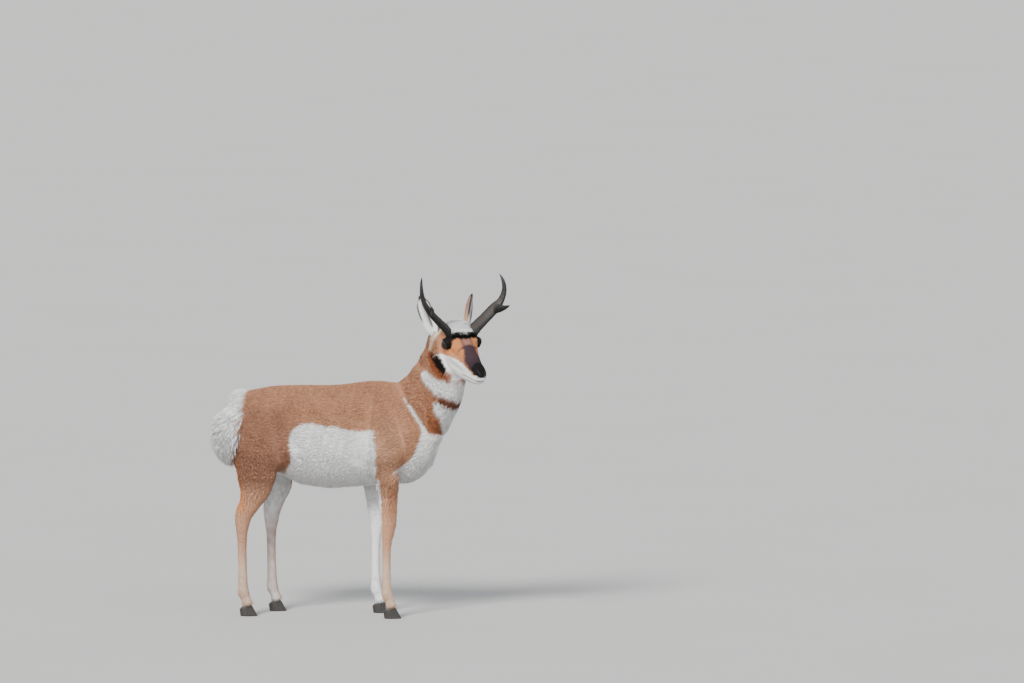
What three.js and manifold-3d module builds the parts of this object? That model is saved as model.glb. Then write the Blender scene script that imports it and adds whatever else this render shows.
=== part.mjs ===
// A pronghorn buck that stands side-on with its head turned to its right, at life size, in millimetres.
// X runs forward along the body, Y to the animal's left and Z up, and the hooves stand on Z = 0.
import * as THREE from "three";
import { mergeVertices } from "three/addons/utils/BufferGeometryUtils.js";
import Module from "manifold-3d";

const wasm = await Module();
wasm.setup();

// Driving dimensions
const WITHERS = 908; // height of the back over the shoulders
const BELLY = 497; // height of the lowest line of the belly
const LEG_SPREAD = 84; // from the middle plane to a leg
const GAP = 0.3; // air between two pieces that meet
const HEAD_AT = [520, -98, 1066]; // midway between the eyes
const HEAD_YAW = -56; // degrees, turned to the animal's right
const HEAD_PITCH = 24; // degrees, nose below level
const EYE_RADIUS = 22;
const EYE_AT = [2, 59, 2]; // centre of the left eyeball, in the head's own frame
const HORN_LENGTH = 252; // along the horn's curve
const PRONG_LENGTH = 76;
const EAR_LENGTH = 150;
const FETLOCK = 92; // height of the fetlock joint
const HOOF_HEIGHT = 44;

const rad = THREE.MathUtils.degToRad;
const vec = (x, y, z) => new THREE.Vector3(x, y, z);

function coat(hex, roughness = 0.9) {
  return new THREE.MeshStandardMaterial({ color: hex, roughness, metalness: 0 });
}
const MATERIALS = {
  tan: coat(0xb5825c),
  white: coat(0xeeeae4),
  cream: coat(0xd9b994),
  brown: coat(0x6b4630),
  horn: coat(0x1d1917, 0.5),
  eye: coat(0x0c0807, 0.08),
  hoof: coat(0x17140f, 0.45),
};

// Closed solids and meshes

// Makes an indexed geometry face outwards, whichever way its rings ran.
function outward(geometry) {
  const index = geometry.index.array;
  const p = geometry.attributes.position;
  const [a, b, c] = [vec(0, 0, 0), vec(0, 0, 0), vec(0, 0, 0)];
  let volume = 0;
  for (let i = 0; i < index.length; i += 3) {
    a.fromBufferAttribute(p, index[i]);
    b.fromBufferAttribute(p, index[i + 1]);
    c.fromBufferAttribute(p, index[i + 2]);
    volume += a.dot(b.cross(c));
  }
  if (volume < 0) {
    for (let i = 0; i < index.length; i += 3) [index[i + 1], index[i + 2]] = [index[i + 2], index[i + 1]];
  }
  return geometry;
}

function solidOf(geometry) {
  const bare = geometry.clone();
  bare.deleteAttribute("normal");
  bare.deleteAttribute("uv");
  const merged = outward(mergeVertices(bare, 1e-4));
  const mesh = new wasm.Mesh({
    numProp: 3,
    vertProperties: new Float32Array(merged.attributes.position.array),
    triVerts: new Uint32Array(merged.index.array),
  });
  return new wasm.Manifold(mesh);
}

// The largest closed surface of a solid, so that no loose scrap or sealed hollow stays.
function largest(solid) {
  return solid.decompose().sort((a, b) => b.volume() - a.volume())[0];
}

function meshOf(name, solid, material) {
  const data = largest(solid).getMesh();
  const geometry = new THREE.BufferGeometry();
  const positions = new Float32Array(data.numVert * 3);
  for (let i = 0; i < data.numVert; i += 1) {
    positions.set(data.vertProperties.subarray(i * data.numProp, i * data.numProp + 3), i * 3);
  }
  geometry.setAttribute("position", new THREE.BufferAttribute(positions, 3));
  geometry.setIndex(new THREE.BufferAttribute(data.triVerts, 1));
  geometry.computeVertexNormals();
  const mesh = new THREE.Mesh(geometry, material);
  mesh.name = name;
  return mesh;
}

const join = (solids) => solids.reduce((whole, piece) => whole.add(piece));
const cut = (solid, ...tools) => tools.reduce((left, tool) => left.subtract(tool), solid);

// Closes a grid of rings, each a list of points, with a fan over the first and the last.
function closeRings(rings) {
  const sides = rings[0].length;
  const positions = rings.flat().flatMap((p) => [p.x, p.y, p.z]);
  const index = [];
  for (let r = 0; r + 1 < rings.length; r += 1) {
    for (let s = 0; s < sides; s += 1) {
      const a = r * sides + s;
      const b = r * sides + ((s + 1) % sides);
      index.push(a, b, a + sides, b, b + sides, a + sides);
    }
  }
  for (const [ring, first] of [[rings[0], 0], [rings.at(-1), (rings.length - 1) * sides]]) {
    const middle = ring.reduce((sum, p) => sum.add(p), vec(0, 0, 0)).divideScalar(sides);
    const centre = positions.length / 3;
    positions.push(middle.x, middle.y, middle.z);
    for (let s = 0; s < sides; s += 1) {
      const a = first + s;
      const b = first + ((s + 1) % sides);
      index.push(...(first === 0 ? [centre, b, a] : [centre, a, b]));
    }
  }
  const geometry = new THREE.BufferGeometry();
  geometry.setAttribute("position", new THREE.Float32BufferAttribute(positions, 3));
  geometry.setIndex(index);
  return geometry;
}

// The surface of a body of rounded sections along a smooth path: t runs along it and angle round it.
// A station is [x, y, z, half width, reach up, reach down], lateral(t) is the sections' sideways direction,
// squareness 2 is an ellipse, and grow moves the surface outwards.
function surfaceOf(stations, { lateral = () => vec(0, 1, 0), squareness = 2.2, grow = 0 }) {
  const path = new THREE.CatmullRomCurve3(stations.map(([x, y, z]) => vec(x, y, z)), false, "catmullrom");
  const sizes = new THREE.CatmullRomCurve3(stations.map((s) => vec(s[3], s[4], s[5])), false, "catmullrom");
  return (t, angle) => {
    const centre = path.getPoint(t);
    const tangent = path.getTangent(t);
    const up = tangent.clone().cross(lateral(t)).normalize();
    const side = up.clone().cross(tangent).normalize();
    const size = sizes.getPoint(t).addScalar(grow);
    if (t <= 0) centre.addScaledVector(tangent, -grow);
    if (t >= 1) centre.addScaledVector(tangent, grow);
    const c = Math.cos(angle);
    const d = Math.sin(angle);
    const across = Math.sign(c) * Math.abs(c) ** (2 / squareness) * size.x;
    const along = Math.sign(d) * Math.abs(d) ** (2 / squareness) * (d > 0 ? size.y : size.z);
    return centre.addScaledVector(side, across).addScaledVector(up, along);
  };
}

function loft(stations, { rings, sides, ...shape }) {
  const surface = surfaceOf(stations, shape);
  const around = Array.from({ length: sides }, (_, s) => (2 * Math.PI * s) / sides);
  const ringAt = (r) => around.map((angle) => surface(r / rings, angle));
  return closeRings(Array.from({ length: rings + 1 }, (_, r) => ringAt(r)));
}

const ball = (at, radius, wide = 16, high = 12, scale = [1, 1, 1]) =>
  new THREE.SphereGeometry(radius, wide, high).scale(...scale).translate(...at);

// A repeatable random draw between 0 and 1.
function drawFrom(seed) {
  let state = seed;
  return () => {
    state = (state * 16807) % 2147483647;
    return state / 2147483647;
  };
}

// A flat, tapered lock of hair that leaves its root along one direction and bends over towards another.
function lockShape(root, lift, lie, { length, width, thick, sink, grow = 0 }) {
  const side = lift.clone().cross(lie).normalize();
  const bend = (out, over) =>
    root.clone().addScaledVector(lift, out * length).addScaledVector(lie, over * length);
  const station = (point, wide, deep) => {
    const half = (deep * thick) / 2;
    return [...point.toArray(), (wide * width) / 2, half, half];
  };
  const stations = [
    station(root.clone().addScaledVector(lift, -sink), 0.6, 0.8),
    station(root, 0.9, 1),
    station(bend(0.28, 0.1), 1, 0.9),
    station(bend(0.45, 0.36), 0.8, 0.7),
    station(bend(0.52, 0.72), 0.14, 0.2),
  ];
  return loft(stations, { rings: 3, sides: 4, lateral: () => side, squareness: 2, grow });
}

// Locks rooted on a surface at a list of [t, angle, size, stand], with the lie of the hair at each root.
function locksOn(surface, spots, lieAt, sizes, grow = 0) {
  const draw = drawFrom(sizes.seed);
  const step = 0.01;
  return spots.map(([t, angle, size = 1, stand = sizes.stand]) => {
    const root = surface(t, angle);
    const along = surface(Math.min(t + step, 1), angle).sub(surface(Math.max(t - step, 0), angle));
    const round = surface(t, angle + step).sub(surface(t, angle - step));
    const normal = along.cross(round).normalize();
    if (normal.dot(root.clone().sub(surface(t, angle + Math.PI))) < 0) normal.negate();
    const stray = vec(draw() - 0.5, draw() - 0.5, draw() - 0.5).multiplyScalar(0.25);
    const lie = lieAt(root).add(stray).normalize();
    const lift = normal.multiplyScalar(stand).addScaledVector(lie, 1 - stand).normalize();
    const length = sizes.length * size * (0.85 + 0.3 * draw());
    return solidOf(lockShape(root, lift, lie, { ...sizes, length, grow }));
  });
}

const mirrored = (stations) => stations.map(([x, y, ...rest]) => [x, -y, ...rest]);

// Torso: the ribs, belly, loin and rump as one barrel, with the shoulders and haunches raised on it

const TORSO = [
  [-404, 0, 716, 44, 62, 74],
  [-382, 0, 716, 78, 112, 118],
  [-330, 0, 714, 108, 148, 150],
  [-235, 0, 708, 123, 174, 158],
  [-120, 0, 706, 133, 182, 191],
  [0, 0, 700, 141, 190, 203],
  [90, 0, BELLY + 203, 140, 198, 203], // hangs down to the lowest line of the belly
  [170, 0, 706, 129, WITHERS - 706, 198], // rises to the withers
  [236, 0, 704, 116, 200, 192],
  [300, 0, 699, 105, 192, 188],
  [354, 0, 694, 97, 128, 168],
  [398, 0, 688, 81, 74, 132],
  [424, 0, 683, 50, 38, 92],
  [434, 0, 680, 16, 14, 42],
];
const torsoShape = (grow = 0) => loft(TORSO, { rings: 20, sides: 18, squareness: 2.25, grow });

const SHOULDER = [
  [176, 54, 872, 20, 36, 40],
  [196, 84, 800, 36, 62, 66],
  [216, 92, 720, 42, 80, 82],
  [226, 94, 640, 40, 78, 84],
  [226, 92, 580, 33, 60, 66],
  [228, 90, 540, 26, 44, 48],
];
const HAUNCH = [
  [-196, 44, 852, 22, 44, 50],
  [-232, 74, 790, 42, 90, 92],
  [-252, 84, 720, 50, 118, 124],
  [-262, 88, 650, 50, 112, 118],
  [-276, 90, 590, 45, 98, 93],
  [-282, 90, 545, 40, 84, 72],
];

// Legs, from the elbow and the stifle down to the coronet above the hooves

function foreleg(shift, knee) {
  const y = LEG_SPREAD;
  return [
    [226 + shift, y + 10, 600, 34, 56, 60],
    [232 + shift, y + 6, 545, 32, 50, 53],
    [233 + shift + knee * 0.2, y + 2, 480, 29, 42, 42],
    [234 + shift + knee * 0.5, y, 415, 25, 34, 33],
    [235 + shift + knee, y, 366, 24, 29, 28],
    [233 + shift + knee, y, 326, 19.5, 22, 23],
    [229 + shift + knee, y, 280, 14.5, 15, 16],
    [228 + shift + knee, y, 200, 13, 13.5, 15],
    [229 + shift + knee, y, 128, 14, 15, 17],
    [231 + shift + knee, y, FETLOCK, 18, 18, 21],
    [239 + shift + knee, y, 68, 16, 16, 16],
    [247 + shift + knee, y, HOOF_HEIGHT, 19, 19, 20],
  ];
}

function hindleg(shift) {
  const y = LEG_SPREAD;
  return [
    [-264 + shift * 0.2, y + 12, 650, 50, 108, 112],
    [-276 + shift * 0.35, y + 10, 590, 45, 98, 90],
    [-279 + shift * 0.5, y + 6, 535, 37, 84, 73],
    [-283 + shift * 0.65, y + 3, 488, 29, 63, 58],
    [-301 + shift * 0.8, y, 438, 24, 41, 38],
    [-322 + shift * 0.95, y, 392, 22, 31, 33],
    [-328 + shift, y, 350, 19, 23, 27],
    [-330 + shift, y, 300, 15, 16, 18],
    [-329 + shift, y, 215, 13.5, 14, 16],
    [-327 + shift, y, 132, 14.5, 15, 17],
    [-325 + shift, y, FETLOCK, 18, 18, 21],
    [-317 + shift, y, 68, 16, 16, 16],
    [-309 + shift, y, HOOF_HEIGHT, 19, 19, 20],
  ];
}

// The stride of each leg: how far it stands ahead of the pair's usual place, and how far the knee leads
const LEGS = {
  foreleg_right: { stations: mirrored(foreleg(2, 0)), top: 548, muscle: SHOULDER },
  foreleg_left: { stations: foreleg(-78, 12), top: 548, muscle: SHOULDER },
  hindleg_right: { stations: mirrored(hindleg(0)), top: 560, muscle: HAUNCH },
  hindleg_left: { stations: hindleg(86), top: 560, muscle: HAUNCH },
};

const legShape = (name, grow = 0) =>
  loft(LEGS[name].stations, { rings: 26, sides: 10, squareness: 2.1, grow });

const SLAB = 4000; // wider than the animal

// Everything above (side 1) or below (side -1) the level z.
function halfSpace(z, side) {
  return solidOf(new THREE.BoxGeometry(SLAB, SLAB, SLAB).translate(0, 0, z + (side * SLAB) / 2));
}

// Neck: bends from the chest up and round to the turned head

const NECK = [
  [196, 0, 640, 84, 150, 84],
  [256, 0, 684, 104, 168, 100],
  [306, 0, 716, 108, 180, 104],
  [348, 0, 762, 100, 164, 107],
  [385, -8, 818, 90, 148, 108],
  [418, -18, 874, 82, 134, 106],
  [444, -28, 934, 79, 138, 100],
  [456, -36, 992, 78, 137, 92],
  [462, -40, 1036, 75, 124, 78],
  [463, -46, 1084, 66, 99, 62],
  [466, -52, 1112, 38, 56, 38],
];
const neckLateral = (t) => {
  const turn = rad(HEAD_YAW) * THREE.MathUtils.smoothstep(t, 0.28, 0.8);
  return vec(-Math.sin(turn), Math.cos(turn), 0);
};
const neckShape = (grow = 0) =>
  loft(NECK, { rings: 17, sides: 18, lateral: neckLateral, squareness: 2.1, grow });

// Head, in its own frame: X along the face to the nose, Y to its left and Z out of the forehead

const HEAD = [
  [-116, 0, -10, 34, 30, 44],
  [-98, 0, -14, 56, 50, 76],
  [-62, 0, -20, 66, 70, 96],
  [-22, 0, -23, 69, 72, 99],
  [16, 0, -25, 65, 65, 97],
  [54, 0, -28, 55, 55, 91],
  [94, 0, -31, 43, 48, 79],
  [134, 0, -33, 36, 42, 65],
  [168, 0, -33, 33, 37, 50],
  [194, 0, -33, 29, 29, 38],
  [210, 0, -33, 20, 17, 26],
  [216, 0, -34, 8, 7, 10],
];
const headShape = (grow = 0) => loft(HEAD, { rings: 20, sides: 16, squareness: 2.25, grow });

const headFrame = new THREE.Group();
headFrame.position.set(...HEAD_AT);
headFrame.rotation.order = "ZYX";
headFrame.rotation.set(0, rad(HEAD_PITCH), rad(HEAD_YAW));
headFrame.updateMatrix();

// A direction given forward, outward to the left and upward of a level head, in the head's own frame.
function level(forward, outward, upward) {
  const pitch = rad(HEAD_PITCH);
  return vec(
    forward * Math.cos(pitch) - upward * Math.sin(pitch),
    outward,
    forward * Math.sin(pitch) + upward * Math.cos(pitch),
  );
}

// Places a level offset from a point, mirrored to one side.
function placed(root, forward, outward, upward, side) {
  const p = vec(...root).add(level(forward, outward, upward));
  return [p.x, side * p.y, p.z];
}

const HORN_ROOT = [-14, 50, 40];
const EAR_ROOT = [-100, 66, -4];

// Horn: a flat blade that leans out from over the eye, then hooks in at the tip
function hornStations(side) {
  const k = HORN_LENGTH / 252;
  const at = (f, o, v, ...size) => [...placed(HORN_ROOT, f * k, o * k, v * k, side), ...size];
  return [
    at(-8, -8, -14, 14, 26, 26),
    at(-6, 10, 12, 13.5, 26, 26),
    at(-3, 36, 36, 12.5, 25, 24),
    at(0, 64, 62, 11.5, 25, 23),
    at(6, 91, 90, 11, 24, 22),
    at(12, 111, 116, 10, 15, 15),
    at(15, 123, 148, 8.5, 11, 11),
    at(12, 125, 176, 6.5, 8.5, 8.5),
    at(4, 121, 197, 4.5, 6, 6),
    at(-7, 114, 212, 1.2, 1.2, 1.2),
  ];
}
const hornLateral = (side) => () => level(-0.45, 0.6, -0.37).multiply(vec(1, side, 1));
const hornShape = (side, grow = 0) =>
  loft(hornStations(side), { rings: 18, sides: 10, lateral: hornLateral(side), squareness: 2, grow });

// Prong: the flat forward tine on the front edge of the horn
function prongStations(side) {
  const k = PRONG_LENGTH / 76;
  const at = (f, o, v, ...size) => [...placed(HORN_ROOT, 16 + f * k, 84 + o * k, 86 + v * k, side), ...size];
  return [
    at(0, 0, 0, 9, 20, 20),
    at(18, 7, 2, 8, 17, 17),
    at(38, 14, 5, 6.5, 12, 12),
    at(58, 22, 11, 4.5, 7, 7),
    at(74, 29, 19, 1.2, 1.5, 1.5),
  ];
}
const prongShape = (side) =>
  loft(prongStations(side), { rings: 8, sides: 8, lateral: () => level(-0.4, side, 0), squareness: 2 });

// Ear: a leaf-shaped cup that stands up and faces forward and outward; the right one stands straighter
const EAR = { halfWidth: 34, depth: 19, wall: 3.2, rows: 11, columns: 8, faceTurn: 58 };
const EAR_SPREAD = { left: 0.34, right: 0.2 };
function earShape(side) {
  const root = vec(...EAR_ROOT);
  const axis = level(-0.3, side > 0 ? EAR_SPREAD.left : EAR_SPREAD.right, 0.89).normalize();
  const turn = rad(EAR.faceTurn);
  const opening = level(Math.cos(turn), Math.sin(turn), 0);
  opening.addScaledVector(axis, -opening.dot(axis)).normalize();
  const across = axis.clone().cross(opening).normalize();
  const outer = [];
  const inner = [];
  for (let r = 0; r <= EAR.rows; r += 1) {
    const t = r / EAR.rows;
    const leaf = Math.sin(Math.PI * (0.13 + 0.87 * t ** 1.25)) ** 0.62;
    const half = Math.max(EAR.halfWidth * leaf, 0.8);
    const bowl = EAR.depth * leaf + 0.5;
    const lean = 8 * t * t;
    const front = [];
    const back = [];
    for (let c = 0; c <= EAR.columns; c += 1) {
      const u = (2 * c) / EAR.columns - 1;
      const sag = bowl * (1 - u * u);
      const wall = EAR.wall * (0.35 + 0.65 * (1 - u * u)) * (1 - 0.5 * t);
      const point = root.clone().addScaledVector(axis, (t * EAR_LENGTH * 1.05) - 8);
      point.addScaledVector(across, half * u * Math.cos(0.35 * u * leaf));
      point.addScaledVector(opening, 6 - sag - lean);
      front.push(point.clone());
      back.push(point.addScaledVector(opening, -wall - 0.4));
    }
    outer.push(back);
    inner.push(front);
  }
  const rings = outer.map((back, r) => [...back, ...inner[r].reverse()]);
  const placedRings = rings.map((ring) => ring.map((p) => vec(p.x, side * p.y, p.z)));
  return closeRings(side > 0 ? placedRings : placedRings.map((ring) => ring.reverse()));
}

// Lids, brow, nostrils and the line of the mouth
const LID = { ring: 22, thick: 5.4, tilt: 14 };
function lidShape(side, grow = 0) {
  const [x, y, z] = EYE_AT;
  const rim = new THREE.TorusGeometry(LID.ring, LID.thick + grow, 6, 16);
  rim.scale(1.04, 0.82, 1);
  rim.rotateX(rad(-90));
  rim.rotateZ(rad(-LID.tilt));
  return rim.translate(x, y + 9, z).scale(1, side, 1);
}

function noseCuts(side) {
  return [
    solidOf(ball([206, side * 15, -22], 7, 8, 6, [1.2, 0.7, 0.8])),
    solidOf(ball([197, side * 22, -16], 4.5, 8, 6, [1.5, 0.9, 0.7])),
  ];
}
const MOUTH = [
  [112, -72, 2.2],
  [140, -64, 2],
  [168, -58, 2],
  [196, -51, 2],
  [224, -47, 2],
];
function mouthCut() {
  const stations = MOUTH.map(([x, z, half]) => [x, 0, z, 48, half * 0.6, half * 0.6]);
  return solidOf(loft(stations, { rings: 5, sides: 8, squareness: 6 }));
}
// The mouth is only a line: a core keeps the jaws joined behind the lips.
const JAW_CORE = [
  [98, 0, -70, 31, 15, 15],
  [128, 0, -65, 28, 14, 14],
  [160, 0, -58, 25, 13, 13],
  [186, 0, -52, 20, 11, 11],
  [202, 0, -49, 13, 8, 8],
];
const mouthCore = () => solidOf(loft(JAW_CORE, { rings: 6, sides: 12, squareness: 2.6 }));

const CROWN = [
  [-96, 0, 20, 26, 12, 24],
  [-74, 0, 35, 36, 16, 28],
  [-46, 0, 40, 38, 17, 30],
  [-18, 0, 35, 32, 14, 26],
  [4, 0, 32, 12, 7, 14],
];

const eyeBall = (side, grow = 0) => ball([EYE_AT[0], side * EYE_AT[1], EYE_AT[2]], EYE_RADIUS + grow, 14, 8);

const inBody = (geometry) => geometry.applyMatrix4(headFrame.matrix);

// The white tuft between the horns falls forward and outward from the middle of the crown.
const CROWN_LOCK = { length: 34, width: 24, thick: 6, sink: 9, stand: 0.42, seed: 11 };
const CROWN_SPOTS = [0.22, 0.4, 0.58, 0.76].flatMap((t, row) =>
  [60, 90, 120].map((angle) => [t, rad(angle + (row % 2 === 0 ? 8 : -8))]));
function crownLocks(grow) {
  const lieAt = (root) => level(0.8, 0, -0.1).addScaledVector(vec(0, 1, 0), root.y / 50);
  return locksOn(surfaceOf(CROWN, {}), CROWN_SPOTS, lieAt, CROWN_LOCK, grow);
}
const headWhole = (grow = 0) =>
  join([solidOf(headShape(grow)), solidOf(loft(CROWN, { rings: 6, sides: 10, grow })), ...crownLocks(grow)]);
let head = join([headWhole(), solidOf(lidShape(1)), solidOf(lidShape(-1))]);
head = cut(head, mouthCut().subtract(mouthCore()), ...noseCuts(1), ...noseCuts(-1));
head = cut(head, solidOf(eyeBall(1, GAP)), solidOf(eyeBall(-1, GAP)));
const headGrown = headWhole(GAP);
const napeGrown = solidOf(neckShape(GAP).applyMatrix4(headFrame.matrix.clone().invert()));

for (const [side, word] of [[1, "left"], [-1, "right"]]) {
  const hornGrown = solidOf(hornShape(side, GAP));
  const lidGrown = solidOf(lidShape(side, GAP));
  const horn = cut(solidOf(hornShape(side)), headGrown, lidGrown, solidOf(eyeBall(side, GAP)));
  const ear = cut(solidOf(earShape(side)), headGrown, hornGrown, napeGrown);
  headFrame.add(meshOf(`eye_${word}`, solidOf(eyeBall(side)), MATERIALS.eye));
  headFrame.add(meshOf(`horn_${word}`, horn, MATERIALS.horn));
  headFrame.add(meshOf(`prong_${word}`, cut(solidOf(prongShape(side)), hornGrown), MATERIALS.horn));
  headFrame.add(meshOf(`ear_${word}`, ear, MATERIALS.cream));
}
headFrame.add(meshOf("head", head, MATERIALS.brown));

// Hoof: two claws, each a wedge with a flat sole
function clawShape([x, y], inner) {
  const sole = new THREE.Shape();
  sole.moveTo(-24, 1);
  sole.quadraticCurveTo(-26, 17, -6, 18.5);
  sole.quadraticCurveTo(24, 18, 40, 3);
  sole.lineTo(38, 1);
  sole.closePath();
  const block = { depth: HOOF_HEIGHT, bevelEnabled: false, curveSegments: 4, steps: 3 };
  const claw = new THREE.ExtrudeGeometry(sole, block);
  const p = claw.attributes.position;
  for (let i = 0; i < p.count; i += 1) {
    const rise = p.getZ(i) / HOOF_HEIGHT;
    p.setX(i, p.getX(i) * (1 - 0.3 * rise) - 12 * rise - 2);
    p.setY(i, (p.getY(i) - 1) * (1 - 0.12 * rise) + 1);
    if (rise > 0.9) p.setZ(i, HOOF_HEIGHT - 0.5 - Math.max(0, -p.getX(i) - 4) * 0.5);
  }
  const side = Math.sign(y) * (inner ? -1 : 1);
  return claw.scale(1, side, 1).translate(x, y, 0);
}

const part = new THREE.Group();
const legRoots = [];
for (const [name, { stations, top, muscle }] of Object.entries(LEGS)) {
  const hoof = stations.at(-1).slice(0, 2);
  const bulge = loft(name.includes("right") ? mirrored(muscle) : muscle, { rings: 9, sides: 12 });
  const whole = solidOf(legShape(name)).add(solidOf(bulge));
  legRoots.push(whole.intersect(halfSpace(top + GAP / 2, 1)));
  const [kind, word] = name.split("leg_");
  const claws = [];
  for (const inner of [true, false]) {
    const claw = solidOf(clawShape(hoof, inner));
    const label = inner ? "inner" : "outer";
    claws.push(solidOf(clawShape(hoof, inner).translate(0, 0, GAP)));
    part.add(meshOf(`hoof_${kind}_${word}_${label}`, claw, MATERIALS.hoof));
  }
  const lower = cut(whole.intersect(halfSpace(top - GAP / 2, -1)), solidOf(torsoShape(GAP)), ...claws);
  part.add(meshOf(name, lower, name.includes("fore") ? MATERIALS.tan : MATERIALS.cream));
}

// The white rump hair, raised in a fan on each side of the tail
const RUMP = [
  [-300, 0, 818, 40, 14, 24],
  [-340, 0, 800, 84, 22, 26],
  [-378, 0, 764, 98, 34, 28],
  [-398, 0, 720, 96, 38, 26],
  [-404, 0, 674, 82, 34, 22],
  [-398, 0, 632, 58, 24, 18],
  [-382, 0, 598, 30, 12, 12],
];
const rumpShape = (grow = 0) => loft(RUMP, { rings: 12, sides: 16, squareness: 2, grow });

// Its hair lies down at the top, stands out behind the middle of the patch and hangs again below.
const RUMP_LOCK = { length: 84, width: 36, thick: 9, sink: 12, stand: 0.5, seed: 5 };
const RUMP_ROWS = [
  // [t, locks across, size, stand]
  [0.14, 4, 0.7, 0.25],
  [0.27, 5, 0.84, 0.44],
  [0.4, 6, 0.95, 0.56],
  [0.53, 6, 0.92, 0.56],
  [0.66, 5, 0.8, 0.5],
  [0.8, 5, 0.64, 0.42],
];
const RUMP_SPOTS = RUMP_ROWS.flatMap(([t, count, size, stand]) =>
  Array.from({ length: count }, (_, i) => [t, rad(-174 + (168 * (i + 0.5)) / count), size, stand]));
const rumpLie = (root) => vec(-0.4, root.y / 240, -1);
const rumpLocks = () => locksOn(surfaceOf(RUMP, { squareness: 2 }), RUMP_SPOTS, rumpLie, RUMP_LOCK);

const TAIL = [
  [-312, 0, 842, 17, 14, 16],
  [-340, 0, 846, 22, 14, 17],
  [-366, 0, 838, 23, 13, 16],
  [-386, 0, 814, 19, 11, 14],
  [-398, 0, 780, 8, 6, 7],
];
const tailShape = (grow = 0) => loft(TAIL, { rings: 8, sides: 8, squareness: 2, grow });
const TAIL_LOCK = { length: 40, width: 22, thick: 6, sink: 8, stand: 0.3, seed: 3 };
const TAIL_SPOTS = [0.3, 0.48, 0.66, 0.84].flatMap((t, row) =>
  [30, 90, 150].map((angle) => [t, rad(angle + (row % 2 === 0 ? 12 : -12))]));
function tailWhole(grow = 0) {
  const lieAt = (root) => vec(-0.6, root.y / 60, -0.7 - (850 - root.z) / 50);
  const locks = locksOn(surfaceOf(TAIL, { squareness: 2 }), TAIL_SPOTS, lieAt, TAIL_LOCK, grow);
  return join([solidOf(tailShape(grow)), ...locks]);
}

const torsoGrown = solidOf(torsoShape(GAP));
const haunchesGrown = [HAUNCH, mirrored(HAUNCH)].map((stations) =>
  solidOf(loft(stations, { rings: 9, sides: 12, grow: GAP })));
const hindlegsGrown = ["hindleg_left", "hindleg_right"].map((name) => solidOf(legShape(name, GAP)));
const headInBody = solidOf(inBody(headShape(GAP)));
const crownInBody = solidOf(inBody(loft(CROWN, { rings: 6, sides: 10, grow: GAP })));
const neck = cut(solidOf(neckShape()), headInBody, crownInBody, torsoGrown);
const torsoCore = join([solidOf(torsoShape()), ...legRoots]);
const neckGrown = solidOf(neckShape(GAP)).subtract(torsoGrown);
const torso = cut(torsoCore, solidOf(rumpShape(GAP)), tailWhole(GAP), neckGrown);
const hair = cut(join(rumpLocks()), torsoGrown, ...haunchesGrown, ...hindlegsGrown);
const rump = cut(solidOf(rumpShape()).add(hair), tailWhole(GAP));

part.add(meshOf("torso", torso, MATERIALS.tan));
part.add(meshOf("rump", rump, MATERIALS.white));
part.add(meshOf("tail", tailWhole(), MATERIALS.white));
part.add(meshOf("neck", neck, MATERIALS.tan));
part.add(headFrame);

// The origin is midway along and across the animal, on the ground.
const span = new THREE.Box3().setFromObject(part, true);
part.position.set(-(span.min.x + span.max.x) / 2, -(span.min.y + span.max.y) / 2, 0);

export default part;
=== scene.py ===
"""A pronghorn buck as a still, life-size model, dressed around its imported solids.

Metres; X forward, Y to the animal's left, Z up.
"""
import math

import bmesh
import bpy
import numpy as np
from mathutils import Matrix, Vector


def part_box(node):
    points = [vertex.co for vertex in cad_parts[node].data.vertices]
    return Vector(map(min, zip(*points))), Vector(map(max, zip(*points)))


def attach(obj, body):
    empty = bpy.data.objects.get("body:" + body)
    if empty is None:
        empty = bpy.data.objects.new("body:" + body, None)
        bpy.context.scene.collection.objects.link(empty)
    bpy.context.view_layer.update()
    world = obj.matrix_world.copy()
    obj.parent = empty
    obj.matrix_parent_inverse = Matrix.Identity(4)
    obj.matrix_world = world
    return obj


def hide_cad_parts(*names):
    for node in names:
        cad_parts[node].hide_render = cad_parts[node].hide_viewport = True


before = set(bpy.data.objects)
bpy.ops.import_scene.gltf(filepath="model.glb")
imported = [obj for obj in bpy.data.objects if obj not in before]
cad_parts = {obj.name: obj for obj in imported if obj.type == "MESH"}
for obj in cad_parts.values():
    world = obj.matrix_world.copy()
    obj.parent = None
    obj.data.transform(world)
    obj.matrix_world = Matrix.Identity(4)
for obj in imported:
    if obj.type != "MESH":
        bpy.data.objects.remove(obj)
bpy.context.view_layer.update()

# Room: a pale painted floor under soft studio light, seen from the photograph's angle.
# The animal's own measures run from a point on the ground under its middle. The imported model's origin lies
# elsewhere, so the left eyeball, whose place is known in both, gives the step between them.

HEAD_AT = np.array([0.520, -0.098, 1.066])
HEAD_YAW = math.radians(-56)
HEAD_PITCH = math.radians(24)
EYE_AT = np.array([0.002, 0.059, 0.002])
EYE_RADIUS = 0.022


def turned(yaw, pitch):
    """The head's axes as columns: forward to the nose, left and up out of the forehead."""
    cy, sy, cp, sp = math.cos(yaw), math.sin(yaw), math.cos(pitch), math.sin(pitch)
    return np.array([[cy * cp, -sy, cy * sp], [sy * cp, cy, sy * sp], [-sp, 0.0, cp]])


HEAD_AXES = turned(HEAD_YAW, HEAD_PITCH)
eye_low, eye_high = (np.array(corner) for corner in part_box("eye_left"))
OFFSET = (eye_low + eye_high) / 2 - (HEAD_AT + HEAD_AXES @ EYE_AT)
OFFSET[2] = 0.0

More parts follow.
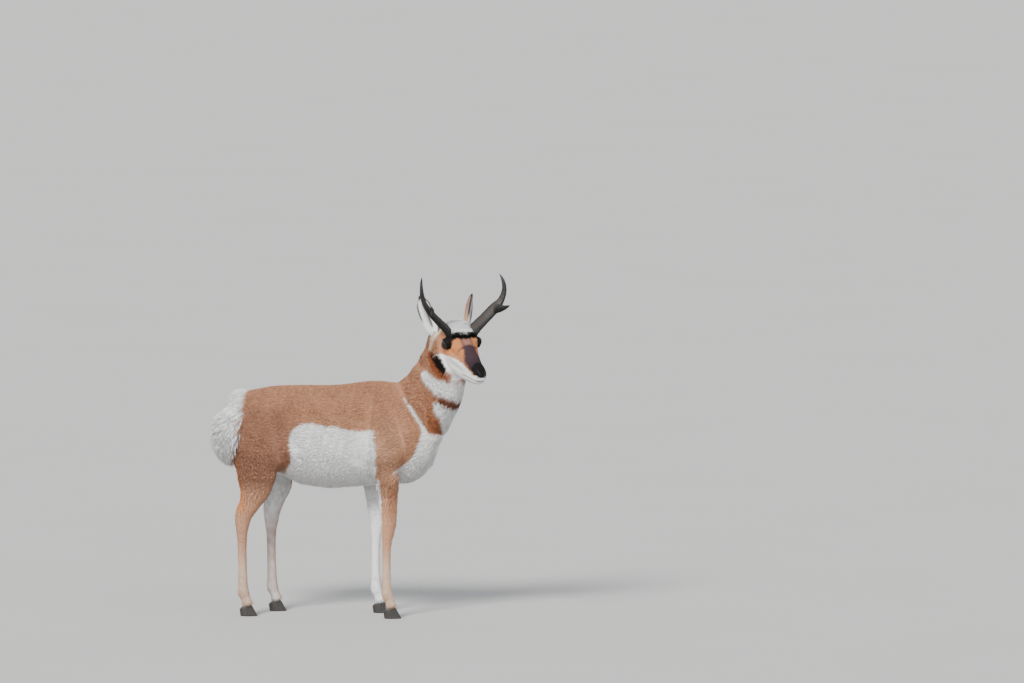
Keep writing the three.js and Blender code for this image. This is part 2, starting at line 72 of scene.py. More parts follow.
scene = bpy.context.scene
CAMERA_AZIMUTH = math.radians(8)
CAMERA_HEIGHT = math.radians(6)
CAMERA_AWAY = 43.5
CAMERA_AIM = Vector((0.7026, 0.0, 1.0649))
back = Vector((math.sin(CAMERA_AZIMUTH) * math.cos(CAMERA_HEIGHT),
               -math.cos(CAMERA_AZIMUTH) * math.cos(CAMERA_HEIGHT), math.sin(CAMERA_HEIGHT)))
camera_data = bpy.data.cameras.new("camera")
camera_data.lens = 400
camera_data.sensor_width = 36
camera_data.clip_end = 400
camera = bpy.data.objects.new("camera", camera_data)
scene.collection.objects.link(camera)
camera.location = CAMERA_AIM + Vector(OFFSET) + back * CAMERA_AWAY
camera.rotation_euler = back.to_track_quat("Z", "Y").to_euler()
scene.camera = camera


class Wire:
    """A number that a material works out: every operator on it adds one Math node."""

    def __init__(self, finish, socket):
        self.finish, self.socket = finish, socket

    def maths(self, operation, *values):
        made = self.finish.node("ShaderNodeMath", {"operation": operation}, dict(enumerate(values)))
        return Wire(self.finish, made.outputs[0])

    def __add__(self, other):
        return self.maths("ADD", self, other)

    def __mul__(self, other):
        return self.maths("MULTIPLY", self, other)

    def __sub__(self, other):
        return self.maths("SUBTRACT", self, other)

    def __rsub__(self, other):
        return self.maths("SUBTRACT", other, self)

    def __pow__(self, other):
        return self.maths("POWER", self, other)

    __radd__ = __add__


class Finish:
    """A material in the making, with its shader and one way to add any other node."""

    def __init__(self, name, **constants):
        self.material = bpy.data.materials.new(name)
        self.material.use_nodes = True
        self.tree = self.material.node_tree
        self.shader = self.tree.nodes["Principled BSDF"]
        for socket, value in constants.items():
            self.shader.inputs[socket.replace("_", " ")].default_value = value

    def node(self, kind, settings=None, values=None):
        """Adds a node: its settings first, then a value or a link for each named or numbered input."""
        made = self.tree.nodes.new(kind)
        for key, value in (settings or {}).items():
            setattr(made, key, value)
        for key, value in (values or {}).items():
            self.feed(made.inputs[key], value)
        return made

    def feed(self, socket, value):
        if isinstance(value, Wire):
            value = value.socket
        if isinstance(value, bpy.types.NodeSocket):
            self.tree.links.new(value, socket)
        else:
            socket.default_value = value

    def number(self, socket):
        return Wire(self, socket)

    def kept(self, name, output):
        """What the mesh keeps at its points under a name, as Color, Vector or Fac."""
        return self.node("ShaderNodeAttribute", {"attribute_name": name}).outputs[output]

    def noise(self, scale, where=None, detail=3.0, roughness=0.55, stretch=None):
        """Soft noise from 0 to 1, on the object's own coordinates unless told where."""
        where = where or self.node("ShaderNodeTexCoord").outputs["Object"]
        if stretch:
            mapped = self.node("ShaderNodeMapping", None, {"Vector": where, "Scale": stretch})
            where = mapped.outputs["Vector"]
        values = {"Vector": where, "Scale": scale, "Detail": detail, "Roughness": roughness}
        return self.number(self.node("ShaderNodeTexNoise", None, values).outputs["Fac"])

    def mixed(self, first, second, factor, blend="MIX"):
        """A colour between two, or the second laid on the first in another way."""
        made = self.node("ShaderNodeMix", {"data_type": "RGBA", "blend_type": blend})
        colours = [i for i in made.inputs if i.type == "RGBA"]
        self.feed(made.inputs[0], factor)
        self.feed(colours[0], first)
        self.feed(colours[1], second)
        return next(o for o in made.outputs if o.type == "RGBA")

    def bump(self, height, distance, strength):
        values = {"Height": height, "Distance": distance, "Strength": strength}
        made = self.node("ShaderNodeBump", None, values)
        self.feed(self.shader.inputs["Normal"], made.outputs["Normal"])

    def set(self, **wires):
        for socket, value in wires.items():
            self.feed(self.shader.inputs[socket.replace("_", " ")], value)
        return self.material


def grey(value):
    return (value, value, value, 1)


def paint(red, green, blue):
    """A colour as seen on a screen, from 0 to 255, turned to the light that it reflects."""
    c = np.array([red, green, blue]) / 255
    return np.where(c <= 0.04045, c / 12.92, ((c + 0.055) / 1.055) ** 2.4)


FLOOR_HALF = 160.0
floor_mesh = bpy.data.meshes.new("floor")
floor_mesh.from_pydata([(-FLOOR_HALF, -FLOOR_HALF, 0), (FLOOR_HALF, -FLOOR_HALF, 0),
                        (FLOOR_HALF, FLOOR_HALF, 0), (-FLOOR_HALF, FLOOR_HALF, 0)], [], [(0, 1, 2, 3)])
floor = bpy.data.objects.new("floor", floor_mesh)
scene.collection.objects.link(floor)
floor_paint = Finish("floor_paint", Roughness=0.9)
floor_tone = floor_paint.mixed((0.40, 0.395, 0.385, 1), (0.375, 0.37, 0.36, 1),
                               floor_paint.noise(1.2, detail=4.0))
floor_mesh.materials.append(floor_paint.set(Base_Color=floor_tone))


def sun(name, toward, strength, softness, colour):
    """Even light that falls from one direction, with shadows as soft as a large lamp's."""
    data = bpy.data.lights.new(name, "SUN")
    data.energy = strength
    data.angle = math.radians(softness)
    data.color = colour
    lamp = bpy.data.objects.new(name, data)
    lamp.location = Vector(toward) * 4
    lamp.rotation_euler = Vector(toward).to_track_quat("Z", "Y").to_euler()
    scene.collection.objects.link(lamp)


sun("key", (-0.4, -1.0, 0.95), 6.0, 18, (1.0, 0.985, 0.96))
sun("fill", (1.2, -0.8, 0.55), 0.7, 60, (0.94, 0.97, 1.0))
world = bpy.data.worlds.new("room")
world.use_nodes = True
world.node_tree.nodes["Background"].inputs["Color"].default_value = (0.92, 0.95, 1.0, 1)
world.node_tree.nodes["Background"].inputs["Strength"].default_value = 0.95
scene.world = world

# Hide: one skin over the whole body, neck, head, legs, rump and tail.
# Rounded bodies are carried along curved paths with the shoulder and thigh muscles laid over them, grown
# together in one closed skin and relaxed. It lies inside the solids by about the depth of the coat.


def spline(points, t):
    """Points on a smooth curve: each stretch is a cubic whose end slopes are half the neighbours' step."""
    p = np.asarray(points, float)
    p = np.vstack([2 * p[0] - p[1], p, 2 * p[-1] - p[-2]])
    s = np.clip(np.asarray(t, float), 0, 1) * (len(p) - 3)
    i = np.minimum(s.astype(int), len(p) - 4)
    u = (s - i)[:, None]
    a, b, c, d = p[i], p[i + 1], p[i + 2], p[i + 3]
    squared, cubed = 2 * a - 5 * b + 4 * c - d, 3 * b - a - 3 * c + d
    return 0.5 * (2 * b + (c - a) * u + squared * u ** 2 + cubed * u ** 3)


def unit(v):
    return v / np.maximum(np.linalg.norm(v, axis=-1, keepdims=True), 1e-9)


def ramp(value, low, high):
    """0 below low, 1 above high and an S-shaped rise between them, also where low is the larger."""
    s = np.clip((value - low) / (high - low), 0, 1)
    return s * s * (3 - 2 * s)


def along(stations, t, lateral=None):
    """Centre, size, tangent, side and up of a body's sections at each t."""
    st = np.asarray(stations, float) / 1000
    centre, size = spline(st[:, :3], t), spline(st[:, 3:], t)
    tangent = unit(spline(st[:, :3], np.minimum(t + 1e-3, 1)) - spline(st[:, :3], np.maximum(t - 1e-3, 0)))
    sideways = np.tile([0.0, 1.0, 0.0], (len(t), 1)) if lateral is None else lateral(t)
    up = unit(np.cross(tangent, sideways))
    return centre, size, tangent, np.cross(up, tangent), up


def tube(rings):
    """A closed tube: rings of points joined by quads, with a fan to a point at each end."""
    count, sides = rings.shape[:2]
    points = np.vstack([rings.reshape(-1, 3), rings[0].mean(0), rings[-1].mean(0)])
    r, s = np.meshgrid(np.arange(count - 1), np.arange(sides), indexing="ij")
    a, b = r * sides + s, r * sides + (s + 1) % sides
    quads = np.stack([a, b, b + sides, a + sides], -1).reshape(-1, 4)
    s = np.arange(sides)
    first, last = count * sides, (count - 1) * sides
    fans = [np.stack([np.full(sides, first), (s + 1) % sides, s], -1),
            np.stack([np.full(sides, first + 1), last + s, last + (s + 1) % sides], -1)]
    return points, quads, np.vstack(fans)


def loft(stations, rings=90, sides=48, lateral=None, squareness=2.2, grow=0.0):
    """A body of rounded sections: each is a superellipse whose reach up and reach down differ.
    grow moves its surface outwards, by one amount or by one at each t."""
    t = np.linspace(0, 1, rings + 1)
    centre, size, tangent, side, up = along(stations, t, lateral)
    grow = grow(t) if callable(grow) else np.full(len(t), grow)
    size = np.maximum(size + grow[:, None], 0.0004)
    centre[0] -= tangent[0] * grow[0]
    centre[-1] += tangent[-1] * grow[-1]
    angle = 2 * np.pi * np.arange(sides) / sides
    c, d = np.cos(angle), np.sin(angle)
    across = np.sign(c) * np.abs(c) ** (2 / squareness) * size[:, :1]
    reach = np.where(d > 0, size[:, 1:2], size[:, 2:3])
    rise = np.sign(d) * np.abs(d) ** (2 / squareness) * reach
    return tube(centre[:, None] + across[..., None] * side[:, None] + rise[..., None] * up[:, None])


def ball(at, radius, scale=(1, 1, 1), sides=24):
    """An ellipsoid from poles and parallels."""
    v = np.linspace(0, np.pi, sides // 2 + 2)[1:-1, None]
    u = 2 * np.pi * np.arange(sides)[None] / sides
    p = np.stack([np.sin(v) * np.cos(u), np.sin(v) * np.sin(u), np.cos(v) * np.ones_like(u)], -1)
    return tube(np.asarray(at) + p * radius * np.asarray(scale))


def head_places(points):
    """Places in the head's own frame."""
    return (points - HEAD_AT) @ HEAD_AXES


def body_places(points):
    """Places in the body's frame of points that are given in the head's."""
    return points @ HEAD_AXES.T + HEAD_AT


def in_body(shape):
    points, *faces = shape
    return (body_places(points), *faces)


def mirrored(stations):
    return [(s[0], -s[1], *s[2:]) for s in stations]


TORSO = [(-404, 0, 716, 44, 62, 74), (-382, 0, 716, 78, 112, 118), (-330, 0, 714, 108, 148, 150),
         (-235, 0, 708, 123, 174, 158), (-120, 0, 706, 133, 182, 191), (0, 0, 700, 141, 190, 203),
         (90, 0, 700, 140, 198, 203), (170, 0, 706, 129, 202, 198), (236, 0, 704, 116, 200, 192),
         (300, 0, 699, 105, 192, 188), (354, 0, 694, 97, 128, 168), (398, 0, 688, 81, 74, 132),
         (424, 0, 683, 50, 38, 92), (434, 0, 680, 16, 14, 42)]
SHOULDER = [(176, 54, 872, 20, 36, 40), (196, 84, 800, 36, 62, 66), (216, 92, 720, 42, 80, 82),
            (226, 94, 640, 40, 78, 84), (226, 92, 580, 33, 60, 66), (228, 90, 540, 26, 44, 48)]
HAUNCH = [(-196, 44, 852, 22, 44, 50), (-232, 74, 790, 42, 90, 92), (-252, 84, 720, 50, 118, 124),
          (-262, 88, 650, 50, 112, 118), (-276, 90, 590, 45, 98, 93), (-282, 90, 545, 40, 84, 72)]
NECK = [(196, 0, 640, 84, 150, 84), (256, 0, 684, 104, 168, 100), (306, 0, 716, 108, 180, 104),
        (348, 0, 762, 100, 164, 107), (385, -8, 818, 90, 148, 108), (418, -18, 874, 82, 134, 106),
        (444, -28, 934, 79, 138, 100), (456, -36, 992, 78, 137, 92), (462, -40, 1036, 75, 124, 78),
        (463, -46, 1084, 66, 99, 62), (466, -52, 1112, 38, 56, 38)]
HEAD = [(-116, 0, -10, 34, 30, 44), (-98, 0, -14, 56, 50, 76), (-62, 0, -20, 66, 70, 96),
        (-22, 0, -23, 69, 72, 99), (16, 0, -25, 65, 65, 97), (54, 0, -28, 55, 55, 91),
        (94, 0, -31, 43, 48, 79), (134, 0, -33, 36, 42, 65), (168, 0, -33, 33, 37, 50),
        (194, 0, -33, 29, 29, 38), (210, 0, -33, 20, 17, 26), (216, 0, -34, 8, 7, 10)]
CROWN = [(-96, 0, 20, 26, 12, 24), (-74, 0, 35, 36, 16, 28), (-46, 0, 40, 38, 17, 30),
         (-18, 0, 35, 32, 14, 26), (4, 0, 32, 12, 7, 14)]
RUMP = [(-300, 0, 818, 40, 14, 24), (-340, 0, 800, 84, 22, 26), (-378, 0, 764, 98, 34, 28),
        (-398, 0, 720, 96, 38, 26), (-404, 0, 674, 82, 34, 22), (-398, 0, 632, 58, 24, 18),
        (-382, 0, 598, 30, 12, 12)]
TAIL = [(-312, 0, 842, 17, 14, 16), (-340, 0, 846, 22, 14, 17), (-366, 0, 838, 23, 13, 16),
        (-386, 0, 814, 19, 11, 14), (-398, 0, 780, 8, 6, 7)]
SPREAD = 84


def foreleg(shift, knee):
    """Forearm, knee, cannon and pastern, with the knee led forward."""
    x, y = shift + knee, SPREAD
    return [(226 + shift, y + 10, 600, 34, 56, 60), (232 + shift, y + 6, 545, 32, 50, 53),
            (233 + shift + knee * 0.2, y + 2, 480, 29, 42, 42),
            (234 + shift + knee * 0.5, y, 415, 25, 34, 33),
            (235 + x, y, 366, 24, 29, 28), (233 + x, y, 326, 19.5, 22, 23), (229 + x, y, 280, 14.5, 15, 16),
            (228 + x, y, 200, 13, 13.5, 15), (229 + x, y, 128, 14, 15, 17), (231 + x, y, 92, 18, 18, 21),
            (239 + x, y, 68, 16, 16, 16), (247 + x, y, 44, 19, 19, 20)]


def hindleg(shift):
    """Thigh, hock, cannon and pastern."""
    y = SPREAD
    return [(-264 + shift * 0.2, y + 12, 650, 50, 108, 112), (-276 + shift * 0.35, y + 10, 590, 45, 98, 90),
            (-279 + shift * 0.5, y + 6, 535, 37, 84, 73), (-283 + shift * 0.65, y + 3, 488, 29, 63, 58),
            (-301 + shift * 0.8, y, 438, 24, 41, 38), (-322 + shift * 0.95, y, 392, 22, 31, 33),
            (-328 + shift, y, 350, 19, 23, 27), (-330 + shift, y, 300, 15, 16, 18),
            (-329 + shift, y, 215, 13.5, 14, 16), (-327 + shift, y, 132, 14.5, 15, 17),
            (-325 + shift, y, 92, 18, 18, 21), (-317 + shift, y, 68, 16, 16, 16),
            (-309 + shift, y, 44, 19, 19, 20)]


def neck_lateral(t):
    """The neck's sideways direction turns with the head over its upper part."""
    turn = HEAD_YAW * ramp(t, 0.28, 0.8)
    return np.stack([-np.sin(turn), np.cos(turn), np.zeros_like(turn)], -1)


LEGS = {"foreleg_right": mirrored(foreleg(2, 0)), "foreleg_left": foreleg(-78, 12),
        "hindleg_right": mirrored(hindleg(0)), "hindleg_left": hindleg(86)}
SKIN_VOXEL = 0.0054
ORBIT = ball((0.001, 0.043, 0.004), 0.0285, (1.08, 1, 1))
LONG_COAT = 0.006


def hide_parts():
    """Every mass under the hide, each grown inwards by the depth of its coat. Shins are grown outwards a
    little, since the smoothing of the skin draws in what is thin."""
    parts = [loft(TORSO, squareness=2.25, grow=-0.005),
             loft(NECK, squareness=2.1, lateral=neck_lateral, grow=-LONG_COAT),
             loft(RUMP, squareness=2, grow=-0.002), loft(TAIL, rings=30, sides=20, grow=-0.002),
             in_body(loft(HEAD, squareness=2.25, grow=-0.0018)),
             in_body(loft(CROWN, rings=30, sides=24, grow=-0.004))]
    for side in (1, -1):
        flip = (lambda st: st) if side > 0 else mirrored
        parts += [loft(flip(SHOULDER), sides=32, grow=-LONG_COAT),
                  loft(flip(HAUNCH), sides=32, grow=-LONG_COAT)]
        points, *faces = ORBIT
        parts.append(in_body((points * (1, side, 1), *faces)))
    for name, stations in LEGS.items():
        root = 0.018 if name.startswith("hind") else 0.008
        sunk = lambda t, root=root: 0.0022 - 0.0062 * ramp(t, 0.34, 0.14) - root * ramp(t, 0.17, 0)
        parts.append(loft(stations, rings=110, sides=24, squareness=2.1, grow=sunk))
    return parts


def mesh_object(name, points, *faces):
    """A mesh object at the origin from an array of points and arrays of faces."""
    mesh = bpy.data.meshes.new(name)
    mesh.from_pydata(points.tolist(), [], [f for group in faces for f in group.tolist()])
    mesh.validate()
    obj = bpy.data.objects.new(name, mesh)
    scene.collection.objects.link(obj)
    return obj


def settle(obj):
    """Applies an object's modifiers."""
    depsgraph = bpy.context.evaluated_depsgraph_get()
    result = bpy.data.meshes.new_from_object(obj.evaluated_get(depsgraph))
    obj.modifiers.clear()
    obj.data = result


def grown_together(name, parts, voxel, smooth):
    """Joins closed shapes, remeshes them as one skin of small squares, and relaxes it."""
    start, all_points, groups = 0, [], []
    for points, *faces in parts:
        all_points.append(points)
        groups += [group + start for group in faces]
        start += len(points)
    obj = mesh_object(name, np.vstack(all_points), *groups)
    remesh = obj.modifiers.new("remesh", "REMESH")
    remesh.mode = "VOXEL"
    remesh.voxel_size = voxel
    relax = obj.modifiers.new("relax", "SMOOTH")
    relax.factor = 0.5
    relax.iterations = smooth
    settle(obj)
    return obj


def points_of(mesh):
    p = np.empty(len(mesh.vertices) * 3)
    mesh.vertices.foreach_get("co", p)
    return p.reshape(-1, 3)


def normals_of(mesh):
    n = np.empty(len(mesh.vertices) * 3)
    mesh.vertices.foreach_get("normal", n)
    return n.reshape(-1, 3)


def put_points(mesh, p):
    mesh.vertices.foreach_set("co", np.ascontiguousarray(p).ravel())
    mesh.update()


def relaxed(obj, weight, rounds):
    """Smooths a skin more where the weight is nearer 1."""
    group = obj.vertex_groups.new(name="relax")
    for step in range(1, 11):
        chosen = np.flatnonzero(np.round(weight * 10) == step)
        group.add(chosen.tolist(), step / 10, "REPLACE")
    soften = obj.modifiers.new("soften", "SMOOTH")
    soften.factor = 0.5
    soften.iterations = rounds
    soften.vertex_group = "relax"
    settle(obj)
    obj.vertex_groups.clear()


def finer(obj, choose):
    """Splits every edge of the chosen faces in two."""
    bm = bmesh.new()
    bm.from_mesh(obj.data)
    centres = np.array([f.calc_center_median() for f in bm.faces])
    picked = choose(centres)
    edges = {e for f, on in zip(bm.faces, picked) if on for e in f.edges}
    bmesh.ops.subdivide_edges(bm, edges=list(edges), cuts=1, use_grid_fill=True, smooth=0.0)
    bmesh.ops.triangulate(bm, faces=[f for f in bm.faces if len(f.verts) > 4])
    bm.to_mesh(obj.data)
    bm.free()


def on_face(points):
    h = head_places(points)
    return (h[:, 0] > -0.075) & (np.abs(h[:, 1]) < 0.1) & (h[:, 2] > -0.125) & (h[:, 2] < 0.06)


def on_features(points):
    """The muzzle and a disc round each eye."""
    h = head_places(points)
    eye = np.linalg.norm((h * (1, 0, 1) - EYE_AT * (1, 0, 1)), axis=1)
    ahead, aside, above = h[:, 0], np.abs(h[:, 1]), h[:, 2]
    by_eye = (eye < 0.036) & (aside > 0.04) & (aside < 0.1) & (above < 0.06)
    muzzle = (ahead > 0.1) & (ahead < 0.24) & (aside < 0.06) & (above > -0.12) & (above < 0.04)
    return by_eye | muzzle


skin = grown_together("hide", hide_parts(), SKIN_VOXEL, 7)
skin_points = points_of(skin.data)
on_trunk = ramp(skin_points[:, 2], 0.47, 0.56)
skin_by_head = head_places(skin_points)
off_head = ramp(skin_by_head[:, 2], -0.06, -0.13) + ramp(skin_by_head[:, 0], -0.06, -0.1)
relaxed(skin, on_trunk * np.clip(off_head, 0, 1), 24)
finer(skin, on_face)
finer(skin, on_features)


def by(points, start, end, width):
    """1 on a line between two points, falling off round it as a bell curve of the given width."""
    start, end = np.asarray(start, float), np.asarray(end, float)
    line = end - start
    t = np.clip(((points - start) @ line) / (line @ line), 0, 1)
    gap = np.linalg.norm(points - start - t[:, None] * line, axis=1)
    return np.exp(-((gap / width) ** 2))


def beside(points):
    """The same points with both sides of the animal laid on its left."""
    return points * (1, 0, 1) + np.abs(points) * (0, 1, 0)


def strokes(points, rows):
    """The sum of bell-shaped ridges and grooves: each row holds a height, a start, an end and a width."""
    return sum(height * by(points, *line) for height, *line in rows)


MUSCLES = [(-0.007, (-0.15, 0.12, 0.54), (-0.1, 0.13, 0.615), 0.012),
           (0.006, (-0.175, 0.12, 0.555), (-0.125, 0.125, 0.635), 0.02),
           (-0.005, (-0.13, 0.12, 0.66), (-0.14, 0.1, 0.78), 0.03),
           (-0.006, (0.13, 0.13, 0.62), (0.15, 0.12, 0.72), 0.028),
           (0.004, (0.2, 0.13, 0.6), (0.3, 0.12, 0.66), 0.035),
           (-0.005, (0.285, 0.11, 0.84), (0.32, 0.11, 0.74), 0.022),
           (-0.004, (0.19, 0.1, 0.86), (0.17, 0.12, 0.76), 0.025),
           (0.0015, (0.23, 0.09, 0.87), (0.26, 0.12, 0.7), 0.022),
           (-0.004, (-0.3, 0.11, 0.7), (-0.33, 0.09, 0.58), 0.022)]
TENDONS = [(1, (-0.345, 0.084, 0.4), (-0.34, 0.084, 0.22), 0.006),
           (1, (0.205, 0.084, 0.33), (0.212, 0.084, 0.14), 0.006)]
MIDLINE = [(0.009, (0.3, 0, 0.875), (0.34, 0, 0.9), 0.045),
           (0.008, (0.445, 0, 0.715), (0.44, -0.01, 0.75), 0.03),
           (-0.009, (0.42, 0, 0.66), (0.38, 0, 0.6), 0.05), (0.008, (-0.1, 0, 0.515), (0.0, 0, 0.5), 0.055)]
RIB_STEP = 0.034


def body_forms(p):
    """How far the hide swells or sinks: muscles, the flank fold, the hollows of hock and elbow, the ribs."""
    q = beside(p)
    on_side = ramp(q[:, 1], 0.03, 0.06)
    ribs = np.cos(2 * np.pi * (q[:, 0] + 0.35 * (0.7 - q[:, 2])) / RIB_STEP)
    rib_zone = ramp(q[:, 0], -0.12, -0.04) * ramp(q[:, 0], 0.12, 0.06) * ramp(q[:, 2], 0.55, 0.6)
    swell = strokes(q, MUSCLES) + 0.0006 * ribs * rib_zone * ramp(q[:, 2], 0.8, 0.74)
    return swell * on_side + 0.0015 * strokes(q, TENDONS) + strokes(p, MIDLINE)


body = points_of(skin.data)
body += normals_of(skin.data) * body_forms(body)[:, None]
put_points(skin.data, body)

MOUTH = [(0.108, -0.074), (0.14, -0.064), (0.168, -0.0575), (0.196, -0.051), (0.224, -0.047)]


def mouth_gap(h):
    """Distance from the line between the lips, seen from the side of the head."""
    flat = h * (1, 0, 1)
    gaps = []
    for (x0, z0), (x1, z1) in zip(MOUTH[:-1], MOUTH[1:]):
        a, line = np.array([x0, 0, z0]), np.array([x1 - x0, 0, z1 - z0])
        t = np.clip(((flat - a) @ line) / (line @ line), 0, 1)
        gaps.append(np.linalg.norm(flat - a - t[:, None] * line, axis=1))
    return np.min(gaps, axis=0)


FACE_FORMS = [(0.0045, (-0.02, 0.055, 0.03), (0.024, 0.048, 0.026), 0.011),
              (-0.004, (0.03, 0.058, -0.012), (0.07, 0.045, -0.014), 0.011),
              (0.003, (0.03, 0.055, -0.034), (0.1, 0.04, -0.042), 0.012),
              (-0.0035, (0.05, 0.05, -0.062), (0.1, 0.036, -0.06), 0.014),
              (0.0035, (-0.03, 0.066, -0.06), (0.02, 0.058, -0.1), 0.022),
              (-0.003, (0.09, 0.026, 0.004), (0.15, 0.022, -0.006), 0.01),
              (0.0036, (0.213, 0.013, -0.02), (0.197, 0.024, -0.006), 0.008),
              (-0.0085, (0.209, 0.0125, -0.027), (0.199, 0.0215, -0.0135), 0.0045),
              (-0.0022, (0.214, 0, -0.03), (0.205, 0, -0.048), 0.003),
              (0.002, (0.17, 0.012, -0.074), (0.196, 0.006, -0.07), 0.01)]


def face_forms(h):
    """How far the face swells or sinks: brow, tear bone, cheek, jaw, nostrils and chin, then the lips, which
    stand up 7 mm from their line and sink in on it."""
    front = ramp(h[:, 0], 0.11, 0.13)
    gap = mouth_gap(h)
    lips = 0.0016 * np.exp(-((gap - 0.007) / 0.0045) ** 2) - 0.0034 * np.exp(-((gap / 0.0021) ** 2))
    return strokes(beside(h), FACE_FORMS) + front * lips


APERTURE = (0.0172, 0.0118)
LID_LEAN = math.radians(16)
LID_RADIUS = 0.0245


def eye_frame(h, side):
    """Length, angle from straight out, and the two tilted directions round an eye of points of the head."""
    d = h - EYE_AT * (1, side, 1)
    far = np.linalg.norm(d, axis=1)
    out = np.clip(side * d[:, 1] / far, -1, 1)
    ahead = d[:, 0] * math.cos(LID_LEAN) - d[:, 2] * math.sin(LID_LEAN)
    above = d[:, 0] * math.sin(LID_LEAN) + d[:, 2] * math.cos(LID_LEAN)
    return d, far, np.arccos(out), np.arctan2(above, ahead)


def aperture_angle(around):
    """Half the opening between the lids, as an angle at the eye's centre: an almond, pointed in front."""
    half_wide, half_high = APERTURE
    wide, high = np.cos(around) / half_wide, np.sin(around) / half_high
    reach = 1 / np.sqrt(wide ** 2 + high ** 2)
    reach = reach * (1 + 0.1 * np.cos(around) ** 6)
    return np.arcsin(np.clip(reach / EYE_RADIUS, 0, 0.98))


def with_lids(h):
    """Draws the skin round each eye out to the lids' radius with two soft folds, and sinks it behind the
    eyeball in the opening."""
    for side in (1, -1):
        d, far, tilt, around = eye_frame(h, side)
        opening = aperture_angle(around)
        lid = np.where(far < LID_RADIUS, LID_RADIUS, far)
        off = tilt - opening
        fold = 0.0012 * np.exp(-((off - 0.16) / 0.08) ** 2) - 0.0011 * np.exp(-((off - 0.36) / 0.07) ** 2)
        lid = lid + fold
        inside = ramp(tilt, opening + 0.02, opening - 0.06)
        radius = lid * (1 - inside) + 0.017 * inside
        near = (side * h[:, 1] > 0.03) & (far < 0.05) & (tilt < 1.5)
        h = np.where(near[:, None], EYE_AT * (1, side, 1) + d * (radius / far)[:, None], h)
    return h


face_normals = normals_of(skin.data) @ HEAD_AXES
face = head_places(points_of(skin.data))
face += face_normals * face_forms(face)[:, None]
put_points(skin.data, body_places(with_lids(face)))

# Markings: tan back and sides, white belly, rump, throat bars and cheeks, black nose and cheek patches, with
# painted shade on the haunch, in the hollows, on the inner legs and under the jaw, and a painted highlight on
# the lower lid.
# They grow in the hair and the skin under it alike, so both take their colour from one function of place.

# The grey brown is the coat's own on the top of the back and down the forelegs, and painted shade on the
# haunch, in the thigh crease and under the elbow. The grey white is painted shade, and once a painted
# highlight.
TAN, PALE_TAN, GREY_BROWN_AND_PAINTED_SHADE = paint(182, 131, 100), paint(204, 158, 126), paint(140, 99, 80)
RUST, DARK_RUST, ORANGE = paint(150, 82, 46), paint(100, 50, 27), paint(198, 122, 64)
WHITE, CREAM, PAINTED_SHADE_AND_HIGHLIGHT_WHITE = paint(247, 247, 246), paint(236, 222, 200), paint(206, 208, 212)
BLACK, PLUM, ROSE_TAN = paint(9, 7, 7), paint(64, 46, 53), paint(150, 106, 92)


def hum(points, wave, seed):
    """Smooth noise of about -1 to 1: nine plane waves in seeded directions, near one wavelength, over 5."""
    draw = np.random.default_rng(seed)
    total = np.zeros(len(points))
    for _ in range(9):
        way = unit(draw.normal(size=3)) * 2 * np.pi / (wave * draw.uniform(0.7, 1.5))
        total += np.sin(points @ way + draw.uniform(0, 2 * np.pi))
    return total / 5.0


def within(x, y, outline, edge):
    """1 inside a rounded outline and 0 outside it, with an edge of the given width: the outline is a closed
    smooth curve through the points given, and a place is inside where a ray crosses it an odd number
    of times."""
    o = np.asarray(outline, float) / 1000
    steps = np.linspace(1, len(o) + 1, 4 * len(o) + 1) / (len(o) + 2)
    fine = spline(np.vstack([o[-1], o, o[0], o[1]]), steps)
    low, high = fine.min(0) - 2 * edge, fine.max(0) + 2 * edge
    cover = np.zeros(len(x))
    near = np.flatnonzero((x > low[0]) & (x < high[0]) & (y > low[1]) & (y < high[1]))
    px, py = x[near], y[near]
    gap = np.full(len(near), 1.0)
    inside = np.zeros(len(near), bool)
    for (ax, ay), (bx, by_) in zip(fine[:-1], fine[1:]):
        dx, dy = bx - ax, by_ - ay
        t = np.clip(((px - ax) * dx + (py - ay) * dy) / max(dx * dx + dy * dy, 1e-12), 0, 1)
        gap = np.minimum(gap, np.hypot(px - ax - t * dx, py - ay - t * dy))
        crosses = (ay > py) != (by_ > py)
        with np.errstate(divide="ignore", invalid="ignore"):
            inside ^= crosses & (px < ax + (py - ay) * dx / (dy if dy else 1e-12))
    cover[near] = ramp(np.where(inside, gap, -gap), -edge / 2, edge / 2)
    return cover


NECK_STEPS = np.linspace(0, 1, 241)
neck_centre, neck_size, neck_tangent, neck_side, neck_up = along(NECK, NECK_STEPS, neck_lateral)


def neck_places(points):
    """How far along the neck, how many radians round from the throat, and how near the surface a point is."""
    nearest = np.concatenate([np.argmin(((part[:, None] - neck_centre) ** 2).sum(-1), axis=1)
                              for part in np.array_split(points, 1 + len(points) // 20000)])
    r = points - neck_centre[nearest]
    rise, across = (r * neck_up[nearest]).sum(1), (r * neck_side[nearest]).sum(1)
    reach = np.where(rise > 0, neck_size[nearest, 1], neck_size[nearest, 2])
    beyond = np.abs((r * neck_tangent[nearest]).sum(1))
    depth = np.sqrt((across / neck_size[nearest, 0]) ** 2 + (rise / reach) ** 2 + (beyond / 0.08) ** 2)
    return NECK_STEPS[nearest], np.abs(np.arctan2(across, -rise)), depth


def section_depth(points, stations, fade):
    """How near a body's surface a point lies, by the ellipse of its section at that place along x: below 1
    inside it and above 1 outside, and past its ends by how many fades the point is away."""
    st = np.asarray(stations) / 1000
    at = [np.interp(points[:, 0], st[:, 0], st[:, i]) for i in range(6)]
    rise = points[:, 2] - at[2]
    beyond = np.maximum(st[0, 0] - points[:, 0], 0) + np.maximum(points[:, 0] - st[-1, 0], 0)
    upright = rise / np.where(rise > 0, at[4], at[5])
    return np.sqrt((points[:, 1] / at[3]) ** 2 + upright ** 2 + (beyond / fade) ** 2)


def head_depth(h):
    """How near the head's surface a point in the head's frame lies."""
    return section_depth(h, HEAD, 0.05)


